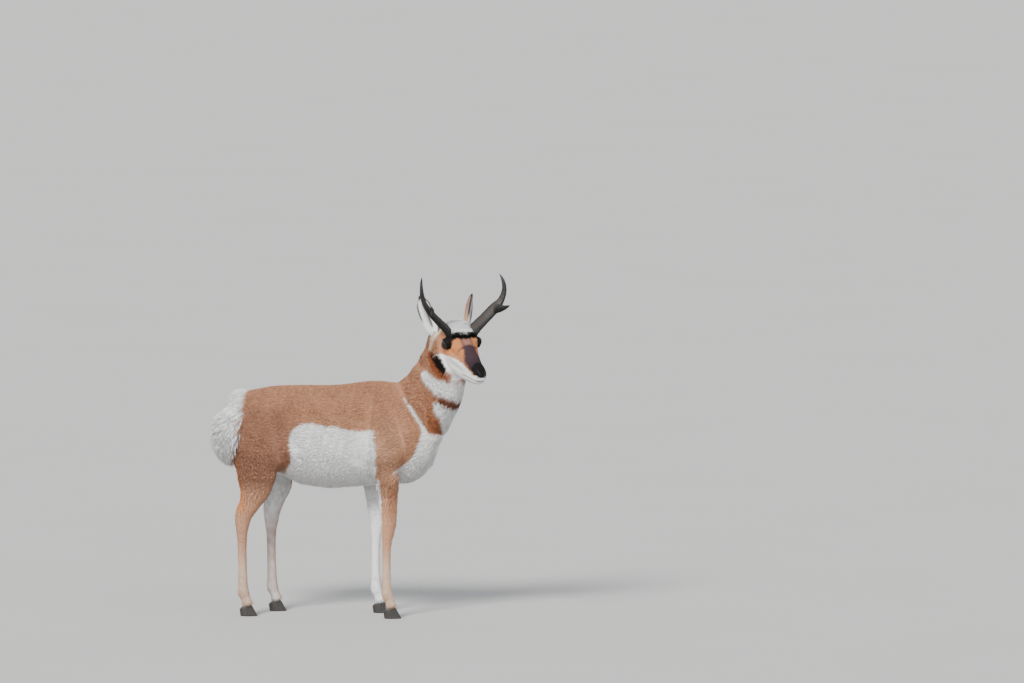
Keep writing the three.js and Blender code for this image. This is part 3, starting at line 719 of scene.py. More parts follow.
FLANK = [(-129, 618), (-129, 696), (-123, 729), (-93, 746), (-39, 755), (32, 749), (104, 734), (152, 725),
         (192, 729), (203, 720), (201, 672), (199, 625), (196, 576), (186, 500), (150, 440), (-100, 440),
         (-170, 520), (-150, 585)]
CHEST = [(303, 856), (324, 832), (345, 804), (365, 772), (387, 740), (402, 718), (450, 714), (540, 716),
         (540, 430), (180, 430), (182, 520), (250, 540), (265, 581), (314, 610), (352, 652), (374, 694),
         (368, 741), (345, 779), (319, 819)]
THROAT_BAR = [(609, -300), (607, 540), (610, 1100), (634, 1800), (626, 2080), (596, 2180), (573, 2030),
              (552, 1640), (537, 1130), (536, 630), (533, 230), (533, -300)]
THROAT_WEDGE = [(495, -300), (494, 200), (492, 470), (501, 820), (482, 1070), (451, 930), (427, 700),
                (380, 450), (346, 250), (320, 200), (264, 250), (264, -300)]
LOBE = [(496, 1310), (480, 1080), (451, 930), (427, 700), (380, 450), (344, 250), (320, 210), (308, 440),
        (310, 700), (328, 930), (360, 1080), (400, 1190), (448, 1290)]
RUST_BAR = [(531, -300), (531, 600), (534, 1150), (512, 1250), (483, 1080), (502, 830), (490, 500),
            (496, 170), (496, -300)]
RUMP_EDGE_AT = ([0.50, 0.575, 0.61, 0.648, 0.705, 0.77, 0.84, 0.87],
                [-0.40, -0.385, -0.381, -0.360, -0.334, -0.315, -0.316, -0.322])


def lay(colour, on, patch):
    """A colour with another laid on it as thickly as the patch says, from 0 to 1."""
    return colour * (1 - patch[:, None]) + np.asarray(on) * patch[:, None]


def body_colour(p):
    """The colour of the hair on trunk, neck and legs, by place: soft-edged patches laid over the tan, some of
    them painted shade on haunch, thigh crease, elbow, inner legs and throat.
    """
    q = beside(p)
    x, y, z = (q + 0.004 * np.stack([hum(p, 0.03, 1), hum(p, 0.03, 2), hum(p, 0.03, 3)], -1)).T
    t, round_throat, neck_depth = neck_places(p)
    wave = 0.5 + 0.5 * hum(p, 0.16, 4)

    c = np.tile(TAN, (len(p), 1))
    # Painted shade: the hind quarters greyer and darker below the line of the back.
    c = lay(c, GREY_BROWN_AND_PAINTED_SHADE, 0.62 * ramp(x, -0.1, -0.2) * ramp(z, 0.86, 0.76))
    # Painted shade in the crease at the front of the thigh.
    c = lay(c, GREY_BROWN_AND_PAINTED_SHADE, 0.5 * by(q, (-0.135, 0.12, 0.64), (-0.15, 0.12, 0.78), 0.035))
    c = lay(c, PALE_TAN, 0.7 * by(q, (0.22, 0.12, 0.6), (0.26, 0.12, 0.7), 0.07))
    c = lay(c, PALE_TAN, 0.35 * ramp(z, 0.8, 0.74) * ramp(x, -0.1, 0.0) * ramp(x, 0.25, 0.2) * wave)
    c = lay(c, GREY_BROWN_AND_PAINTED_SHADE, 0.28 * ramp(z, 0.84, 0.9) * wave)
    c = lay(c, RUST, 0.22 * ramp(t, 0.36, 0.48) * ramp(round_throat, 2.2, 1.2) * ramp(neck_depth, 1.6, 1.2))
    # Painted shadow under the elbow.
    c = lay(c, GREY_BROWN_AND_PAINTED_SHADE, 0.4 * by(q, (0.17, 0.13, 0.56), (0.235, 0.12, 0.55), 0.028))
    hind = ramp(x, -0.14, -0.2)
    c = lay(c, PALE_TAN, 0.5 * ramp(z, 0.6, 0.42))
    c = lay(c, ORANGE, 0.85 * by(q, (-0.372, 0.09, 0.60), (-0.335, 0.09, 0.43), 0.03))
    c = lay(c, CREAM, 0.35 * ramp(z, 0.3, 0.16))
    leg_x = np.where(x > 0, 0.228, -0.27 - 0.13 * ramp(z, 0.6, 0.35))
    left_shift = np.where(p[:, 1] > 0, np.where(x > 0, -0.07, 0.086 * ramp(z, 0.6, 0.4)), 0)
    behind = ramp(x - leg_x - left_shift, -0.012, -0.019) * ramp(z, 0.56, 0.53) * ramp(z, 0.3, 0.36)
    c = lay(c, RUST, 0.45 * by(q, (0.262, 0.1, 0.50), (0.25, 0.1, 0.40), 0.016))
    # Painted shade: the inner sides of the legs in grey white, most of it towards their tops.
    inner_leg = ramp(y, 0.082, 0.074) * ramp(z, 0.56, 0.52)
    c = lay(c, PAINTED_SHADE_AND_HIGHLIGHT_WHITE, inner_leg * (0.8 - 0.4 * ramp(z, 0.45, 0.3)))
    c = lay(c, WHITE, 0.95 * behind * ramp(x, 0, 0.05))
    c = lay(c, GREY_BROWN_AND_PAINTED_SHADE, 0.25 * by(q, (0.25, 0.1, 0.5), (0.246, 0.1, 0.36), 0.014))
    belly = ramp(z, 0.60, 0.56) * ramp(y, 0.095, 0.07) * (1 - hind * ramp(y, 0.05, 0.075))
    flank = within(x, z, FLANK, 0.011) * (1 - hind * ramp(y, 0.07, 0.1))
    c = lay(c, WHITE, np.maximum(belly, flank))
    outer_leg = ramp(z, 0.59, 0.565) * ramp(y, 0.05, 0.065) * ramp(x, 0.3, 0.28)
    c = lay(c, WHITE, within(x, z, CHEST, 0.006) * ramp(x, 0.17, 0.2) * (1 - outer_leg))
    edge = np.interp(z, *RUMP_EDGE_AT)
    c = lay(c, WHITE, ramp(x, edge + 0.006, edge - 0.006) * ramp(z, 0.52, 0.57))
    on_neck = ramp(neck_depth, 1.5, 1.3) * ramp(x, 0.3, 0.34)
    # Painted shade: grey white on the throat under the jaw.
    c = lay(c, PAINTED_SHADE_AND_HIGHLIGHT_WHITE, on_neck * ramp(t, 0.6, 0.62) * ramp(round_throat, 1.0, 0.8))
    t = t + 0.006 * hum(p, 0.022, 5)
    for outline, colour, edge_width, share in ((THROAT_WEDGE, WHITE, 0.02, 1), (LOBE, RUST, 0.05, 0.75),
                                               (RUST_BAR, DARK_RUST, 0.02, 0.85),
                                               (THROAT_BAR, WHITE, 0.02, 1)):
        cover = within(t, round_throat, outline, edge_width) * on_neck * share
        if outline is LOBE:
            cover = cover * ramp(t, 0.464, 0.376)
        if outline is RUST_BAR:
            cover = cover * ramp(round_throat, 1.1, 0.7)
        c = lay(c, colour, cover)
    return c


BEHIND_EYE = [(-116, 34), (-92, 44), (-72, 8), (-66, -34), (-64, -60), (-84, -64), (-104, -28)]
CHEEK_STRIP = [(-20, -34), (-16, 8), (20, 34), (60, 26), (92, 10), (128, -12), (150, -26), (60, -34),
               (10, -40)]
WHITE_CHEEK = [(-26, -54), (-10, -49), (18, -40), (44, -31), (66, -28), (103, -25), (139, -27), (185, -30),
               (222, -31), (240, -62), (190, -90), (110, -128), (52, -136), (36, -108), (18, -84), (0, -66)]
BLACK_PATCH = [(-62, -60), (-40, -55), (-20, -57), (0, -66), (16, -80), (30, -99), (25, -110), (8, -103),
               (-15, -92), (-42, -86), (-60, -76)]
RUST_EDGE = [(-66, -62), (-82, -70), (-70, -94), (-44, -113), (-12, -129), (16, -139), (44, -139), (54, -128),
             (40, -112), (24, -104), (-12, -86), (-44, -78)]
BRIDGE = [(66, -40), (64, 40), (74, 24), (95, 28), (113, 34), (140, 33), (175, 30), (175, -40)]
FOREHEAD = [(-60, 46), (-44, 34), (-26, 22), (-18, 8), (-18, -30), (33, -30), (31, 8), (24, 24), (8, 38),
            (-12, 48), (-34, 58), (-58, 58)]
EYE_PATCH = [(-27, 4), (-20, 20), (-10, 34), (4, 42), (18, 34), (27, 16), (31, 0), (20, -13), (-2, -16),
             (-22, -9)]


def face_colour(h):
    """The colour of the hair on the head, by place in the head's own frame, alike on both sides, with painted
    shade under the jaw and a painted highlight on the lower lid.
    """
    q = beside(h)
    f, o, v = (q + 0.0022 * np.stack([hum(h, 0.016, 6), hum(h, 0.016, 7), hum(h, 0.016, 8)], -1)).T

    on_side = ramp(o, 0.016, 0.026)
    on_top = ramp(v, -0.03, -0.014)
    c = np.tile(TAN, (len(h), 1))
    c = lay(c, CREAM, 0.85 * within(f, v, BEHIND_EYE, 0.012) * on_side)
    c = lay(c, ORANGE, 0.8 * by(q, (-0.03, 0.062, 0.022), (0.0, 0.055, 0.04), 0.013))
    c = lay(c, ORANGE, 0.7 * within(f, v, CHEEK_STRIP, 0.014) * on_side)
    c = lay(c, PALE_TAN, 0.45 * by(q, (0.05, 0.05, -0.022), (0.12, 0.04, -0.022), 0.012))
    c = lay(c, ROSE_TAN, 0.9 * ramp(f, 0.015, 0.03) * ramp(f, 0.086, 0.07) * ramp(o, 0.022, 0.015)
            * ramp(v, 0, 0.01))
    c = lay(c, PLUM, 0.75 * by(q, (0.028, 0.019, 0.03), (0.074, 0.0185, 0.014), 0.006))
    c = lay(c, PLUM, within(f, o, BRIDGE, 0.01) * on_top)
    c = lay(c, BLACK, 0.35 * ramp(f, 0.11, 0.16) * on_top)
    c = lay(c, RUST, 0.9 * within(f, v, RUST_EDGE, 0.012) * on_side)
    jaw = np.maximum(np.maximum(on_side, ramp(v, -0.04, -0.05)), ramp(f, 0.19, 0.2))
    c = lay(c, WHITE, within(f, v, WHITE_CHEEK, 0.006) * jaw)
    # Painted shade: grey white under the jaw.
    c = lay(c, PAINTED_SHADE_AND_HIGHLIGHT_WHITE, 0.5 * ramp(v, -0.09, -0.12) * ramp(f, 0.05, 0.09))
    c = lay(c, RUST, 0.85 * by(q, (-0.03, 0.055, -0.112), (0.052, 0.04, -0.118), 0.012))
    c = lay(c, BLACK, within(f, v, BLACK_PATCH, 0.006) * on_side)
    c = lay(c, BLACK, within(f, o, FOREHEAD, 0.007) * ramp(v, 0.018, 0.026))
    c = lay(c, BLACK, within(f, v, EYE_PATCH, 0.006) * ramp(o, 0.03, 0.038))
    # A painted highlight: a pale grey line along the lower lid.
    c = lay(c, PAINTED_SHADE_AND_HIGHLIGHT_WHITE, 0.6 * by(q, (-0.006, 0.07, -0.021), (0.014, 0.066, -0.023), 0.0035))
    crown_edge = -0.008 - 0.5 * o
    c = lay(c, WHITE, ramp(v, 0.03, 0.036) * ramp(f, crown_edge + 0.004, crown_edge - 0.004)
            * ramp(o, 0.05, 0.043))
    nose_edge = np.interp(f, [0.158, 0.17, 0.19, 0.205, 0.218], [-0.006, -0.018, -0.024, -0.029, -0.034])
    nose = ramp(f - 0.4 * (o - 0.012), 0.155, 0.166) * ramp(v, nose_edge - 0.002, nose_edge + 0.002)
    c = lay(c, BLACK, nose)
    lips = ramp(f, 0.108, 0.116) * np.exp(-((mouth_gap(h) / 0.0024) ** 2))
    c = lay(c, BLACK, 0.85 * lips)
    return c


def coat_colour(p):
    """The colour at any place on the hide: the head's own where a point lies on the head."""
    h = head_places(p)
    body_tint = body_colour(p)
    c = body_tint.copy()
    near = np.flatnonzero(head_depth(h) < 1.6)
    tint = face_colour(h[near])
    t, round_throat, _ = neck_places(p[near])
    low = h[near]
    mine = ramp(low[:, 2], -0.15, -0.132) * ramp(low[:, 0], -0.115, -0.09)
    bar = ramp(t, 0.62, 0.604) * ramp(round_throat, 2.3, 2.1)
    mine = np.clip(mine - bar, 0, 1)[:, None]
    c[near] = tint * mine + body_tint[near] * (1 - mine)
    return c


def bare_skin(p):
    """1 on the bare leather of the nose and the lips' line, 0 where hair grows."""
    h = head_places(p)
    q = beside(h)
    pad = by(q, (0.213, 0.006, -0.03), (0.2, 0.02, -0.014), 0.009)
    return np.clip(ramp(pad, 0.3, 0.6) + ramp(mouth_gap(h), 0.003, 0.0018) * ramp(h[:, 0], 0.11, 0.12), 0, 1)


def shade_by_place(obj, colours, name="hair"):
    """Keeps a colour at each point of a mesh."""
    mark = obj.data.color_attributes.new(name, "FLOAT_COLOR", "POINT")
    mark.data.foreach_set("color", np.column_stack([colours, np.ones(len(colours))]).ravel())


def keep_number(obj, name, values):
    mark = obj.data.attributes.new(name, "FLOAT", "POINT")
    mark.data.foreach_set("value", np.ascontiguousarray(values, np.float32))


PIECES = []


def placed(obj, material, slot, *nodes):
    """Every piece is smooth, rides on the one body, has a look, and may replace solids. The slot is not used.
    """
    obj.data.polygons.foreach_set("use_smooth", np.ones(len(obj.data.polygons), bool))
    obj.data.materials.append(material)
    obj.data.update()
    PIECES.append(obj)
    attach(obj, "root")
    if nodes:
        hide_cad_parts(*nodes)


skin_points = points_of(skin.data)
# The hide is painted a tenth darker than the hair on it: painted shade between the tufts.
shade_by_place(skin, coat_colour(skin_points) * 0.9)
keep_number(skin, "bare", bare_skin(skin_points))

hide = Finish("hide_with_underhair", Roughness=0.8, Specular_IOR_Level=0.2)
hide_tint = hide.kept("hair", "Color")
bare = hide.number(hide.kept("bare", "Fac"))
underhair = hide.noise(380, detail=4.0, stretch=(0.3, 1.0, 1.0))
patchy = hide.noise(26, detail=3.0)
pores = hide.number(hide.node("ShaderNodeTexVoronoi", None, {
    "Vector": hide.node("ShaderNodeTexCoord").outputs["Object"], "Scale": 620}).outputs["Distance"])
streaked = hide.mixed(hide_tint, grey(0.0), (underhair * 0.5 - 0.05) * (1 - bare) * 0.5)
hide.bump(underhair * (1 - bare) + pores * bare * 0.4 + patchy * 0.4, 0.0016, 0.7)
hide_material = hide.set(Base_Color=streaked, Roughness=0.82 - bare * 0.42)
placed(skin, hide_material, "tan_hair", "torso", "neck", "head", "rump", "tail", "foreleg_left",
       "foreleg_right", "hindleg_left", "hindleg_right")

# Coat: hollow guard hairs in flat tufts that lie back over the trunk, down the legs and away from the nose.
# Each tuft is a closed tapered blade rooted in the hide; the long white rump hair stands in a fan.


class Ground:
    """A surface that hair grows on: its triangles, their areas, and their corners on a flat unwrap."""

    def __init__(self, obj):
        bpy.ops.object.select_all(action="DESELECT")
        bpy.context.view_layer.objects.active = obj
        obj.select_set(True)
        obj.data.uv_layers.new(name="sheet")
        bpy.ops.object.mode_set(mode="EDIT")
        bpy.ops.mesh.select_all(action="SELECT")
        bpy.ops.uv.smart_project(angle_limit=math.radians(66), island_margin=0.002)
        bpy.ops.object.mode_set(mode="OBJECT")
        uv = np.empty(len(obj.data.loops) * 2)
        obj.data.uv_layers["sheet"].data.foreach_get("uv", uv)
        obj.data.calc_loop_triangles()
        count = len(obj.data.loop_triangles)
        self.corners, loops = np.empty(count * 3, int), np.empty(count * 3, int)
        obj.data.loop_triangles.foreach_get("vertices", self.corners)
        obj.data.loop_triangles.foreach_get("loops", loops)
        self.corners = self.corners.reshape(-1, 3)
        self.sheet = uv.reshape(-1, 2)[loops].reshape(-1, 3, 2)
        self.points, self.normals = points_of(obj.data), normals_of(obj.data)
        p = self.points[self.corners]
        self.area = 0.5 * np.linalg.norm(np.cross(p[:, 1] - p[:, 0], p[:, 2] - p[:, 0]), axis=1)
        self.middle = p.mean(1)

    def sow(self, count, weight, seed, *values):
        """Seeded roots, denser where the weight of a triangle is more: place, lean, place on the unwrap,
        and each of the values that are kept at the points."""
        draw = np.random.default_rng(seed)
        share = np.cumsum(weight * self.area)
        picked = np.searchsorted(share, (np.arange(count) + draw.random(count)) / count * share[-1])
        u, v = draw.random((2, count))
        fold = u + v > 1
        u, v = np.where(fold, 1 - u, u), np.where(fold, 1 - v, v)
        mix = np.stack([1 - u - v, u, v], -1)[..., None]
        root, normal, *rest = [(kept[self.corners[picked]] * mix).sum(1)
                               for kept in (self.points, self.normals, *values)]
        return root, unit(normal), (self.sheet[picked] * mix).sum(1), *rest


hide_ground = Ground(skin)
middle = hide_ground.middle


def in_rump_fan(p):
    """1 on the white patch round the tail, 0 elsewhere."""
    edge = np.interp(p[:, 2], *RUMP_EDGE_AT)
    return ramp(p[:, 0], edge + 0.01, edge - 0.012) * ramp(p[:, 2], 0.56, 0.6)


def hair_lie(p, n):
    """The way the hair lies: back over the trunk, down the neck and legs, and from the nose over the face."""
    h = head_places(p)
    t, _, neck_near = neck_places(p)
    step = np.minimum((t * (len(NECK_STEPS) - 1)).astype(int), len(NECK_STEPS) - 1)
    ones = np.ones(len(p))
    trunk = np.stack([-ones, 0 * ones, -0.32 * ones], -1)
    leg = np.stack([-0.22 * ones, 0 * ones, -ones], -1)
    neck = -neck_tangent[step] + np.array([-0.25, 0, 0])
    over = np.stack([-ones, 0.012 * np.sign(h[:, 1]) + 2.0 * h[:, 1],
                     -0.25 - 0.55 * ramp(h[:, 2], 0.01, -0.05)], -1)
    face = over @ HEAD_AXES.T
    rump = np.stack([-0.45 * ones - 0.5 * ramp(p[:, 2], 0.7, 0.8), p[:, 1] / 0.22, -ones], -1)
    crown = np.array([0.75, 0, -0.1]) + np.stack([0 * ones, 5.0 * h[:, 1], 0 * ones], -1)
    on_crown = ramp(h[:, 2], 0.03, 0.042) * ramp(h[:, 0], 0.0, -0.01) * ramp(np.abs(h[:, 1]), 0.05, 0.035)
    on_crown = on_crown * ramp(h[:, 0], -0.11, -0.095)
    shares = [np.exp(-7 * np.maximum(section_depth(p, TORSO, 0.06) - 0.9, 0)),
              np.exp(-7 * np.maximum(neck_near - 0.95, 0)), 3 * np.exp(-9 * np.maximum(head_depth(h) - 1, 0)),
              6 * ramp(p[:, 2], 0.68, 0.46), 8 * in_rump_fan(p), 12 * on_crown]
    ways = (trunk, neck, face, leg, rump, crown @ HEAD_AXES.T)
    way = sum(share[:, None] * unit(lie) for share, lie in zip(shares, ways))
    way += 0.22 * np.stack([hum(p, 0.07, 11), hum(p, 0.07, 12), hum(p, 0.07, 13)], -1)
    return unit(way - (way * n).sum(1, keepdims=True) * n)


PATCH = 0.0028
ROOT_DEPTH = 0.0012


def blades(name, root, lean, way, sheet_at, sizes, colours, seed, rings=2, droop=0.5):
    """Closed tapered tufts in one mesh. Each runs from under its root along a curve that rises by its lift
    and bends over towards its lie; its section is a flat triangle, widest at two fifths of its length, and it
    ends in a point. sizes holds length, width, thickness and lift for each tuft."""
    draw = np.random.default_rng(seed)
    count = len(root)
    length, width, thick, lift = sizes
    across = unit(np.cross(lean, way))
    s = np.linspace(0, 1, rings + 1)
    s[0] = -0.08
    twist = draw.uniform(-0.35, 0.35, count)
    bow = draw.normal(0, 0.07, count)
    forward = s[None] * np.cos(lift)[:, None] + 0.12 * np.sin(lift)[:, None] * s[None] ** 2
    rise = np.sin(lift)[:, None] * (s[None] - droop * s[None] ** 2)
    sway = bow[:, None] * s[None] ** 2
    curve = forward[..., None] * way[:, None] + rise[..., None] * lean[:, None]
    curve += sway[..., None] * across[:, None]
    line = root[:, None] + length[:, None, None] * curve
    line[:, 0] -= ROOT_DEPTH * lean
    girth = np.interp(s, [-0.08, 0.15, 0.4, 0.75, 1.0], [0.6, 0.95, 1.0, 0.6, 0.0])
    flat = unit(across + lean * np.tan(twist)[:, None])
    crest = unit(np.cross(way, flat))
    half = 0.5 * width[:, None, None] * girth[None, :, None] * flat[:, None]
    top = thick[:, None, None] * girth[None, :, None] * crest[:, None]
    section = np.stack([line - half, line + half, line + top], 2)[:, :rings]
    points = np.concatenate([section.reshape(count, rings * 3, 3), line[:, rings:]], axis=1)
    per = rings * 3 + 1
    faces = []
    for ring in range(rings - 1):
        for j in range(3):
            a, b = ring * 3 + j, ring * 3 + (j + 1) % 3
            faces += [(a, b, b + 3), (a, b + 3, a + 3)]
    last = (rings - 1) * 3
    faces += [(last + j, last + (j + 1) % 3, per - 1) for j in range(3)] + [(0, 2, 1)]
    faces = np.array(faces)
    a, b, c, d = points[0, [0, 1, 2, 4]]
    if np.cross(b - a, c - a) @ (d - a) < 0:
        faces = faces[:, ::-1]
    triangles = (faces[None] + per * np.arange(count)[:, None, None]).reshape(-1, 3)
    mesh = bpy.data.meshes.new(name)
    mesh.vertices.add(count * per)
    mesh.vertices.foreach_set("co", points.ravel())
    mesh.loops.add(triangles.size)
    mesh.loops.foreach_set("vertex_index", triangles.ravel())
    mesh.polygons.add(len(triangles))
    mesh.polygons.foreach_set("loop_start", np.arange(0, triangles.size, 3))
    mesh.update(calc_edges=True)
    step = np.append(np.repeat(s[:rings], 3), 1.0).clip(0, 1)
    sideways = np.append(np.tile([-0.5, 0.5, 0.0], rings), 0.0)
    corner = sheet_at[:, None] + PATCH * np.stack([np.tile(sideways, (count, 1)),
                                                   np.tile(step - 0.5, (count, 1))], -1)
    layer = mesh.uv_layers.new(name="OFBake")
    layer.data.foreach_set("uv", np.clip(corner.reshape(-1, 2), 0, 1)[triangles.ravel()].ravel())
    obj = bpy.data.objects.new(name, mesh)
    scene.collection.objects.link(obj)
    # Painted shade: every tuft darker at its root and lighter at its tip, and each one a little lighter or
    # darker at random.
    painted_root_shade_and_tone = (0.86 + 0.2 * step)[None] * (1 + draw.normal(0, 0.045, count))[:, None]
    shade_by_place(obj, np.clip((colours[:, None] * painted_root_shade_and_tone[..., None]).reshape(-1, 3), 0, 1))
    return obj


coat = Finish("guard_hair", Roughness=0.7, Specular_IOR_Level=0.12)
coat_tint = coat.kept("hair", "Color")
strand = coat.noise(900, detail=2.0, stretch=(0.35, 1.0, 0.7))
fur = coat.set(Base_Color=coat.mixed(coat_tint, grey(0.02), (1 - strand) * 0.28))
coat.bump(strand, 0.0006, 0.5)


def tufts(name, count, weight, seed, length, width, thick, lift, slot, rings=2, droop=0.5):
    """Sows tufts over the hide where weight says. length and lift may depend on the root's place."""
    root, normal, at = hide_ground.sow(count, weight, seed)
    draw = np.random.default_rng(seed + 1)
    way = hair_lie(root, normal)
    swirl = draw.normal(0, 0.16, count)
    way = unit(way + swirl[:, None] * np.cross(normal, way))
    long = (length(root) if callable(length) else length) * draw.uniform(0.75, 1.2, count)
    raised = (lift(root) if callable(lift) else lift) * draw.uniform(0.6, 1.5, count)
    wide = width * draw.uniform(0.75, 1.25, count)
    tint = coat_colour(root)
    tint = tint * (1 + 0.07 * hum(root, 0.012, seed + 2))[:, None]
    obj = blades(name, root, normal, way, at, (long, wide, np.full(count, thick), raised), tint, seed + 3,
                 rings, droop)
    placed(obj, fur, slot)


def eye_distance(h):
    """How far a point of the head lies from the nearer eye's centre."""
    return np.linalg.norm(beside(h) - EYE_AT, axis=1)


middle_head = head_places(middle)
head_share = np.maximum(ramp(head_depth(middle_head), 1.35, 1.15) * ramp(middle_head[:, 0], -0.12, -0.1),
                        ramp(eye_distance(middle_head), 0.06, 0.05))
leg_share = ramp(middle[:, 2], 0.56, 0.47)
rump_share = in_rump_fan(middle)
tail_share = ramp(middle[:, 2], 0.79, 0.81) * ramp(middle[:, 0], -0.31, -0.325)
crown_share = ramp(middle_head[:, 2], 0.034, 0.042) * ramp(middle_head[:, 0], 0.0, -0.012) * head_share
crown_share = crown_share * ramp(np.abs(middle_head[:, 1]), 0.05, 0.04)
neck_share = ramp(neck_places(middle)[2], 1.5, 1.25) * ramp(middle[:, 2], 0.74, 0.8)
neck_share = neck_share * ramp(middle[:, 0], 0.3, 0.34) * (1 - head_share)
thigh = by(beside(middle), (-0.31, 0.1, 0.66), (-0.26, 0.12, 0.57), 0.06)
trunk_share = (1 - head_share) * (1 - leg_share) * (1 - rump_share) * (1 - neck_share) * (1 + 1.2 * thigh)


def by_white_line(p):
    """1 along the thin white line in front of the shoulder, where short hair keeps its edges clear."""
    return by(beside(p), (0.31, 0.11, 0.84), (0.37, 0.09, 0.75), 0.03)


def trunk_length(p):
    """23 mm on back and sides, more on belly and brisket, less under the thigh and by the white line."""
    on_thigh = ramp(p[:, 0], -0.12, -0.18)
    long = 0.023 + 0.008 * ramp(p[:, 2], 0.6, 0.52) * (1 - 1.6 * on_thigh) + 0.008 * ramp(p[:, 0], 0.3, 0.4)
    return long * (1 - 0.55 * by_white_line(p))


def face_length(p):
    """4.5 mm at the nose to 17 mm at the back of the cheek, and less than half of that round the eyes."""
    h = head_places(p)
    back = 0.009 * ramp(h[:, 0], 0.02, -0.06) * ramp(h[:, 2], 0.0, -0.03)
    long = 0.0045 + 0.0035 * ramp(h[:, 0], 0.15, 0.03) + back
    return long * (0.45 + 0.55 * ramp(eye_distance(h), 0.03, 0.055))


def neck_length(p):
    """30 mm on the neck, 12 mm where it meets the jaw, and shorter by the white line."""
    long = 0.012 + 0.018 * ramp(head_depth(head_places(p)), 1.3, 2.2)
    return long * (1 - 0.6 * by_white_line(p))


def leg_length(p):
    """9 mm on the shins, 21 mm towards elbow and stifle, and a little more over the hooves."""
    return 0.009 + 0.012 * ramp(p[:, 2], 0.36, 0.52) + 0.004 * ramp(p[:, 2], 0.08, 0.055)


open_face = ramp(eye_distance(middle_head), 0.0275, 0.032) * (1 - bare_skin(middle))
open_face = open_face * head_share * (1 - crown_share)
TRUNK_TUFTS = 17000
TRUNK_PARTS = [(-0.5, -0.17), (-0.17, 0.04), (0.04, 0.22), (0.22, 0.6)]
for part, (low, high) in enumerate(TRUNK_PARTS):
    zone = trunk_share * (middle[:, 0] >= low) * (middle[:, 0] < high)
    tufts(f"coat_trunk_{part}", TRUNK_TUFTS, zone, 100 + 10 * part, trunk_length, 0.0024, 0.0005, 0.16,
          "tan_hair")
tufts("coat_neck", 15000, neck_share, 200, neck_length, 0.0024, 0.0006, 0.2, "tan_hair")
tufts("coat_face", 17000, open_face * (1 + 2 * ramp(middle_head[:, 0], 0.05, 0.15)), 210, face_length,
      0.0012, 0.0003, 0.16, "face_hair")
tufts("coat_legs", 17000, leg_share * (1 + ramp(middle[:, 2], 0.2, 0.1)), 220, leg_length, 0.0015, 0.00035,
      0.13, "tan_hair")


def fan_length(p):
    """Short at the top of the patch, longest behind its middle, shorter again below."""
    return 0.05 * np.interp(p[:, 2], [0.57, 0.62, 0.68, 0.74, 0.78, 0.82, 0.86],
                            [0.7, 1.0, 1.3, 1.4, 1.15, 0.75, 0.45])


def fan_lift(p):
    """The rump hair stands out most behind the middle of the patch."""
    behind = ramp(p[:, 0], -0.33, -0.38)
    return 0.22 + behind * np.interp(p[:, 2], [0.57, 0.64, 0.72, 0.76, 0.80, 0.86],
                                     [0.35, 0.6, 0.75, 0.65, 0.3, 0.1])


tufts("coat_rump", 9500, rump_share * (1 - tail_share), 230, fan_length, 0.0034, 0.0008, fan_lift,
      "white_hair", 3, 0.42)
tufts("coat_tail", 2000, tail_share, 240, 0.026, 0.0028, 0.0007, 0.3, "white_hair", 3, 0.2)
tufts("coat_crown", 3200, crown_share, 250, 0.032, 0.0034, 0.0009, 0.62, "face_hair", 3, 0.5)

# Eyes: large dark globes with a clear swelling over a long pupil, held by black lids with lashes above.
# Each globe is one smooth body in its socket; the lid's edge is a rolled leather rim on the hide.

PUPIL = (0.0095, 0.0045)
IRIS_AHEAD, IRIS_RADIUS = 0.004, 0.0155


def globe(side):
    """A ball that swells over the iris: its radius grows by a bell curve round the way that the eye looks."""
    v = np.linspace(0, np.pi, 40)[1:-1, None]
    u = 2 * np.pi * np.arange(56)[None] / 56
    d = np.stack([np.sin(v) * np.cos(u), np.cos(v) * np.ones_like(u), np.sin(v) * np.sin(u)], -1)
    looks = unit(np.array([0.22, 1.0, 0.0]))
    swell = 0.0011 * np.exp(-((np.arccos(np.clip(d @ looks, -1, 1)) / 0.5) ** 2))
    return tube((EYE_AT + d * (EYE_RADIUS - 0.0004 + swell)[..., None]) * (1, side, 1))


eye_wet = Finish("wet_eye", Roughness=0.12, Specular_IOR_Level=0.3, Coat_Weight=0.12, Coat_Roughness=0.03)
eye_place = eye_wet.kept("iris", "Color")
eye_fleck = eye_wet.noise(420, detail=3.0)
eye_material = eye_wet.set(Base_Color=eye_wet.mixed(eye_place, grey(0.0), eye_fleck * 0.35))


def rim_path(side, radius, count=72, widen=0.0):
    """The lids' edge: a closed almond on a sphere round the eye's centre."""
    around = 2 * np.pi * np.arange(count) / count
    tilt = aperture_angle(around) + widen
    ahead, above = np.sin(tilt) * np.cos(around), np.sin(tilt) * np.sin(around)
    x = ahead * math.cos(LID_LEAN) + above * math.sin(LID_LEAN)
    z = above * math.cos(LID_LEAN) - ahead * math.sin(LID_LEAN)
    outward = np.stack([x, np.cos(tilt), z], -1) * (1, side, 1)
    return EYE_AT * (1, side, 1) + outward * radius, outward, around


def rolled(path, outward, radius, sides=10):
    """A closed ring of round section along a closed path: two circles' angles, one along and one round it."""
    ahead = unit(np.roll(path, -1, 0) - np.roll(path, 1, 0))
    over = unit(np.cross(ahead, outward))
    a = 2 * np.pi * np.arange(sides) / sides
    section = np.cos(a)[None, :, None] * outward[:, None] + np.sin(a)[None, :, None] * over[:, None]
    rings = path[:, None] + radius * section
    count = len(path)
    r, s = np.meshgrid(np.arange(count), np.arange(sides), indexing="ij")
    r2, s2 = (r + 1) % count, (s + 1) % sides
    quads = np.stack([r * sides + s, r * sides + s2, r2 * sides + s2, r2 * sides + s], -1).reshape(-1, 4)
    return rings.reshape(-1, 3), quads


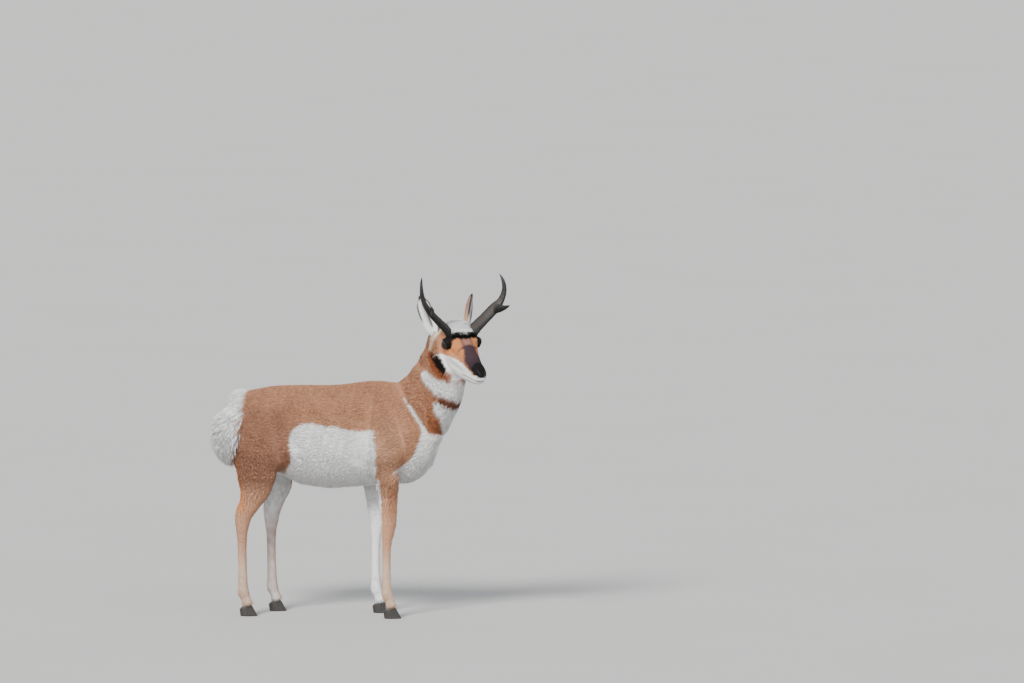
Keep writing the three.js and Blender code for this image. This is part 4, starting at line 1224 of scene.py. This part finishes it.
def faces_out(obj):
    """Turns every face of a closed mesh outwards."""
    bm = bmesh.new()
    bm.from_mesh(obj.data)
    bmesh.ops.recalc_face_normals(bm, faces=bm.faces)
    bm.to_mesh(obj.data)
    bm.free()


lid_leather = Finish("lid_leather", Roughness=0.5)
lid_grain = lid_leather.noise(900, detail=3.0)
lid_leather.bump(lid_grain, 0.0004, 0.6)
lid_tone = lid_leather.mixed((0.012, 0.008, 0.007, 1), (0.035, 0.024, 0.02, 1), lid_grain)
lid_material = lid_leather.set(Base_Color=lid_tone)

for side, word in ((1, "left"), (-1, "right")):
    eye = mesh_object(f"eyeball_{word}", *in_body(globe(side)))
    faces_out(eye)
    seen = head_places(points_of(eye.data)) - EYE_AT * (1, side, 1)
    iris = np.hypot(seen[:, 0] - IRIS_AHEAD, seen[:, 2]) / IRIS_RADIUS
    pupil = np.hypot((seen[:, 0] - IRIS_AHEAD) / PUPIL[0], seen[:, 2] / PUPIL[1])
    ring = ramp(iris, 1.05, 0.95)[:, None]
    tint = paint(70, 58, 52) * (1 - ring) + paint(44, 26, 16) * ring
    tint = tint * ramp(pupil, 0.9, 1.1)[:, None] + 0.002
    shade_by_place(eye, tint, "iris")
    placed(eye, eye_material, "eye", f"eye_{word}")

    path, outward, _ = rim_path(side, 0.0236)
    rim = mesh_object(f"lid_rim_{word}", *in_body(rolled(path, outward, 0.0013)))
    faces_out(rim)
    placed(rim, lid_material, "face_hair")

    path, outward, around = rim_path(side, 0.0238, 120, 0.05)
    upper = (np.sin(around) > 0.3) & (np.arange(len(around)) % 3 == 0)
    root, lean = body_places(path[upper]), outward[upper] @ HEAD_AXES.T
    sweep = unit(outward[upper] * 0.5 + np.array([0.15, 0.5 * side, 0.35])) @ HEAD_AXES.T
    count = len(root)
    sizes = (np.full(count, 0.007), np.full(count, 0.0005), np.full(count, 0.0003), np.full(count, 0.3))
    way = unit(sweep - 0.5 * (sweep * lean).sum(1, keepdims=True) * lean)
    lashes = blades(f"lashes_{word}", root, lean, way, np.linspace(0.1, 0.9, 2 * count).reshape(count, 2),
                    sizes, np.tile(BLACK * 0.6, (count, 1)), 300 + side, 3, 0.2)
    placed(lashes, fur, "face_hair")

# Ears: leaf-shaped cups of thin gristle, tan behind, white inside with a dark streak, edge and tip.
# Each stands from the back of the head and opens forward and outward; long white hair lines its edges.

EAR_ROOT = np.array([-0.100, 0.066, -0.004])
EAR_LENGTH = 0.150
EAR_HALF_WIDTH, EAR_DEPTH, EAR_WALL = 0.034, 0.019, 0.0032
EAR_TURN = math.radians(58)
EAR_SPREAD = {1: 0.34, -1: 0.28}


def level(forward, outward, upward):
    """A direction given forward, outward and upward of a level head, in the head's own frame."""
    c, s = math.cos(HEAD_PITCH), math.sin(HEAD_PITCH)
    return np.array([forward * c - upward * s, outward, forward * s + upward * c])


def ear_axes(side):
    """The ear's length, the way that it opens and its width; the right ear stands straighter."""
    axis = unit(level(-0.3, EAR_SPREAD[side], 0.89))
    opening = level(math.cos(EAR_TURN), math.sin(EAR_TURN), 0)
    opening = unit(opening - (opening @ axis) * axis)
    return axis, opening, unit(np.cross(axis, opening))


EAR_ROWS, EAR_COLUMNS = 64, 36


def ear_cup(side):
    """A leaf bent to a cup: along it t, across it u. Its half width follows a power of a half sine wave, its
    depth falls off as 1 - u squared, and its wall thins to the edge; three low ribs run up the inside."""
    ear_length, opens, wide = ear_axes(side)
    t = np.linspace(0, 1, EAR_ROWS)[:, None]
    u = np.linspace(-1, 1, EAR_COLUMNS)[None]
    leaf = np.maximum(np.sin(np.pi * (0.13 + 0.87 * t ** 1.25)), 1e-4) ** 0.62
    half = np.maximum(EAR_HALF_WIDTH * leaf, 0.0008)
    sag = (EAR_DEPTH * leaf + 0.0005) * (1 - u * u)
    wall = EAR_WALL * (0.35 + 0.65 * (1 - u * u)) * (1 - 0.5 * t) + 0.0003
    ribs = 0.0009 * np.cos(3.2 * np.pi * u) * (1 - u * u) * ramp(t, 0.9, 0.5)
    base = EAR_ROOT + (t * EAR_LENGTH * 1.05 - 0.008)[..., None] * ear_length
    base = base + (half * u * np.cos(0.35 * u * leaf))[..., None] * wide
    front = base + (0.006 - sag - 0.008 * t * t + ribs)[..., None] * opens
    rear = base + (0.006 - sag - 0.008 * t * t - wall)[..., None] * opens
    points, quads, fans = tube(np.concatenate([rear, front[:, ::-1]], axis=1) * (1, side, 1))
    across = np.broadcast_to(u, front.shape[:2])
    up = np.broadcast_to(t, front.shape[:2])
    place = np.concatenate([np.stack([up, across, 0 * up], -1),
                            np.stack([up, across, 0 * up + 1], -1)[:, ::-1]], 1)
    ends = [[0.0, 0.0, 0.5], [1.0, 0.0, 0.5]]
    return (points, quads, fans), np.vstack([place.reshape(-1, 3), ends])


def ear_colour(place):
    """White inside with a dark streak up its middle, tan behind, dark brown along the edge and at the tip."""
    t, u, inside = place.T
    streak = np.exp(-(((u - 0.24) / 0.22) ** 2)) * ramp(t, 0.1, 0.25) * ramp(t, 0.9, 0.75)
    dark = np.maximum(ramp(t, 0.86, 0.95), 0.9 * ramp(np.abs(u), 0.84, 0.95) * ramp(t, 0.25, 0.45))
    front = WHITE * (1 - 0.95 * streak[:, None]) + paint(26, 24, 28) * 0.95 * streak[:, None]
    behind = ramp(t, 0.1, 0.7)[:, None]
    rear = PALE_TAN * (1 - behind) + paint(150, 112, 88) * behind
    c = front * inside[:, None] + rear * (1 - inside[:, None])
    return c * (1 - dark[:, None]) + paint(20, 14, 13) * dark[:, None]


ear_hide = Finish("ear_gristle", Roughness=0.75, Sheen_Weight=0.2)
ear_tint = ear_hide.kept("hair", "Color")
ear_nap = ear_hide.noise(700, detail=4.0)
ear_hide.bump(ear_nap, 0.0006, 0.6)
ear_material = ear_hide.set(Base_Color=ear_hide.mixed(ear_tint, grey(0.0), ear_nap * 0.3))

for side, word in ((1, "left"), (-1, "right")):
    shape, place = ear_cup(side)
    ear = mesh_object(f"ear_cup_{word}", *in_body(shape))
    faces_out(ear)
    shade_by_place(ear, ear_colour(place))
    ground = Ground(ear)
    placed(ear, ear_material, "ear_hair", f"ear_{word}")
    t, u, inside = place[ground.corners].mean(1).T
    lining = 1.0 + 2.5 * (inside > 0.5) * ramp(np.abs(u), 0.3, 0.7) * ramp(t, 0.9, 0.7)
    root, normal, at, spot = ground.sow(4600, lining, 400 + side, place)
    t, u, inside = spot.T
    axis, _, across = (way * (1, side, 1) @ HEAD_AXES.T for way in ear_axes(side))
    way = axis + 0.2 * (inside * u)[:, None] * across
    way = unit(way - (way * normal).sum(1, keepdims=True) * normal)
    draw = np.random.default_rng(410 + side)
    long = 0.007 + 0.008 * inside * ramp(np.abs(u), 0.3, 0.8) * ramp(t, 0.95, 0.6)
    long = long * draw.uniform(0.7, 1.2, len(t))
    sizes = (long, draw.uniform(0.0008, 0.0015, len(t)), np.full(len(t), 0.0003),
             0.16 + 0.3 * inside * np.abs(u))
    tint = ear_colour(np.stack([t, u, inside], -1))
    fringe = blades(f"ear_fringe_{word}", root, normal, way, at, sizes, tint, 420 + side)
    placed(fringe, fur, "ear_hair")

# Horns: a flat black sheath of fused hair over each bony core, with one prong forward and a hooked tip.
# They rise from the brow over the eyes; the sheath is rough and beaded at its base and polished at its tip.

HORN_ROOT = np.array([-14, 50, 40])
HORN_RISE = [(-8, -8, -14, 14, 26, 26), (-6, 10, 12, 13.5, 26, 26), (-3, 36, 36, 12.5, 25, 24),
             (0, 64, 62, 11.5, 25, 23), (6, 91, 90, 11, 24, 22), (12, 111, 116, 10, 15, 15),
             (15, 123, 148, 8.5, 11, 11), (12, 125, 176, 6.5, 8.5, 8.5), (4, 121, 199, 4.5, 6, 6),
             (-8, 113, 220, 1.0, 1.0, 1.0)]
PRONG_RISE = [(16, 84, 86, 9, 20, 20), (34, 91, 88, 8, 17, 17), (54, 98, 91, 6.5, 12, 12),
              (74, 106, 97, 4.5, 7, 7), (90, 113, 105, 1.2, 1.5, 1.5)]


def from_brow(rise, side):
    """Stations whose steps forward, outward and upward of a level head start at the horn's root."""
    return [(*((HORN_ROOT + level(*s[:3])) * (1, side, 1)), *s[3:]) for s in rise]


def facing(way):
    """A body's sideways direction that is the same all along it."""
    return lambda t: np.tile(way, (len(t), 1))


def across_blade(side):
    """The way that the horn is thin, from its outer face to its inner one."""
    return level(-0.45, 0.6, -0.37) * (1, side, 1)


def sheath(side):
    """The blade and its prong, each a loft of flat ellipses."""
    blade = loft(from_brow(HORN_RISE, side), 120, 40, facing(across_blade(side)), 2)
    prong = loft(from_brow(PRONG_RISE, side), 50, 32, facing(level(-0.4, side, 0)), 2)
    return [blade, prong]


def run_of(points, rise, side):
    """How far up a path each point lies, and its offsets from the path in two directions."""
    t = np.linspace(0, 1, 161)
    centre, _, _, across, up = along(from_brow(rise, side), t, facing(across_blade(side)))
    nearest = np.argmin(((points[:, None] - centre) ** 2).sum(-1), axis=1)
    r = points - centre[nearest]
    return t[nearest], (r * across[nearest]).sum(1), (r * up[nearest]).sum(1)


horn_sheath = Finish("horn_sheath", Specular_IOR_Level=0.35)
run = horn_sheath.kept("run", "Vector")
height = horn_sheath.number(horn_sheath.kept("height", "Fac"))
fibre = horn_sheath.noise(60, run, 5.0, 0.6, (2.4, 26.0, 26.0))
cracks = horn_sheath.noise(22, run, 4.0, 0.6, (1.2, 30.0, 30.0))
beads = horn_sheath.noise(46, run, 3.0, 0.5, (8.0, 8.0, 8.0))
flat = horn_sheath.number(horn_sheath.kept("flat", "Fac"))
horn_tone = horn_sheath.mixed((0.0028, 0.0024, 0.0024, 1), (0.052, 0.038, 0.032, 1),
                              (fibre ** 1.6) * 1.5 * flat)
horn_sheath.bump(fibre * (1 - height * 0.6) + cracks * 0.6 + beads * (1 - height) * 0.5, 0.0016, 0.8)
horn_material = horn_sheath.set(Base_Color=horn_tone, Roughness=0.58 - height * 0.24 + fibre * 0.12)

for side, word in ((1, "left"), (-1, "right")):
    horn = grown_together(f"horn_sheath_{word}", sheath(side), 0.0017, 14)
    p = points_of(horn.data)
    t, a, b = run_of(p, HORN_RISE, side)
    rough = ramp(t, 0.5, 0.05)
    grain = hum(np.stack([t * 0.1, a, b], -1), 0.0045, 31 + side)
    beading = hum(p, 0.008, 33 + side)
    p = p + normals_of(horn.data) * (0.0005 * grain * ramp(t, 0.85, 0.6) + 0.0011 * beading * rough)[:, None]
    put_points(horn.data, body_places(p))
    keep_number(horn, "height", t)
    keep_number(horn, "flat", ramp(np.abs(b), 0.021, 0.008) * ramp(t, 0.75, 0.5))
    mark = horn.data.attributes.new("run", "FLOAT_VECTOR", "POINT")
    mark.data.foreach_set("vector", np.stack([t * 0.25, a, b], -1).ravel())
    placed(horn, horn_material, "horn", f"horn_{word}", f"prong_{word}")

# Hooves: two narrow pointed claws of black horn on each foot, flat inside and rounded outside.
# The wall carries fine growth lines under a soft top edge that the pastern's hair hangs over.

HOOF_HEIGHT = 0.044
SOLE = [(-24, 1.2), (-25.6, 8), (-20, 15), (-6, 18.3), (10, 17), (25, 12), (36, 5.5), (40, 2.6), (38, 1.1),
        (26, 1), (8, 1), (-10, 1)]
CLAW_LEVELS = 26


def claw(at, side):
    """A claw: its sole's outline drawn in and back as it rises to a top edge that slopes down to the heel."""
    outline = np.asarray(SOLE, float) / 1000
    closed = spline(np.vstack([outline[-1], outline, outline[0], outline[1]]),
                    np.linspace(1, len(outline) + 1, 85)[:-1] / (len(outline) + 2))
    rise = np.linspace(0, 1, CLAW_LEVELS)[:, None]
    edge = 1 - 0.05 * ramp(rise, 0.06, 0) - 0.14 * ramp(rise, 0.88, 1.0)
    lines = 1 + 0.009 * np.sin(2 * np.pi * rise * 8 + 1.3) * ramp(rise, 0, 0.1) * ramp(rise, 1, 0.85)
    x = (closed[:, 0][None] * (1 - 0.3 * rise) - 0.012 * rise - 0.002) * edge * lines
    y = (closed[:, 1][None] - 0.001) * (1 - 0.12 * rise) * edge * lines + 0.001
    z = rise * (HOOF_HEIGHT - 0.0005 - 0.5 * np.maximum(0, -x - 0.004)) + 0 * x
    rings = np.stack([x + at[0], side * y + at[1], z], -1)
    return tube(rings)


hoof_horn = Finish("hoof_horn")
walls = hoof_horn.noise(240, detail=3.0, stretch=(1.0, 1.0, 0.14))
growth = hoof_horn.noise(160, detail=2.0, stretch=(0.1, 0.1, 2.2))
hoof_tone = hoof_horn.mixed((0.010, 0.009, 0.008, 1), (0.055, 0.047, 0.039, 1), walls ** 2.0)
hoof_horn.bump(growth * 0.6 + walls * 0.4, 0.0008, 0.6)
hoof_material = hoof_horn.set(Base_Color=hoof_tone, Roughness=0.42 + walls * 0.2)

for name, stations in LEGS.items():
    kind, word = name.split("leg_")
    at = np.array(stations[-1][:2]) / 1000
    for which, turn in (("inner", -1), ("outer", 1)):
        side = turn * np.sign(at[1])
        hoof = mesh_object(f"claw_{kind}_{word}_{which}", *claw(at, side))
        faces_out(hoof)
        placed(hoof, hoof_material, "hoof", f"hoof_{kind}_{word}_{which}")

# Every piece moves by the step from the animal's own frame to the imported model's, onto its solids.
for obj in PIECES:
    put_points(obj.data, points_of(obj.data) + OFFSET)
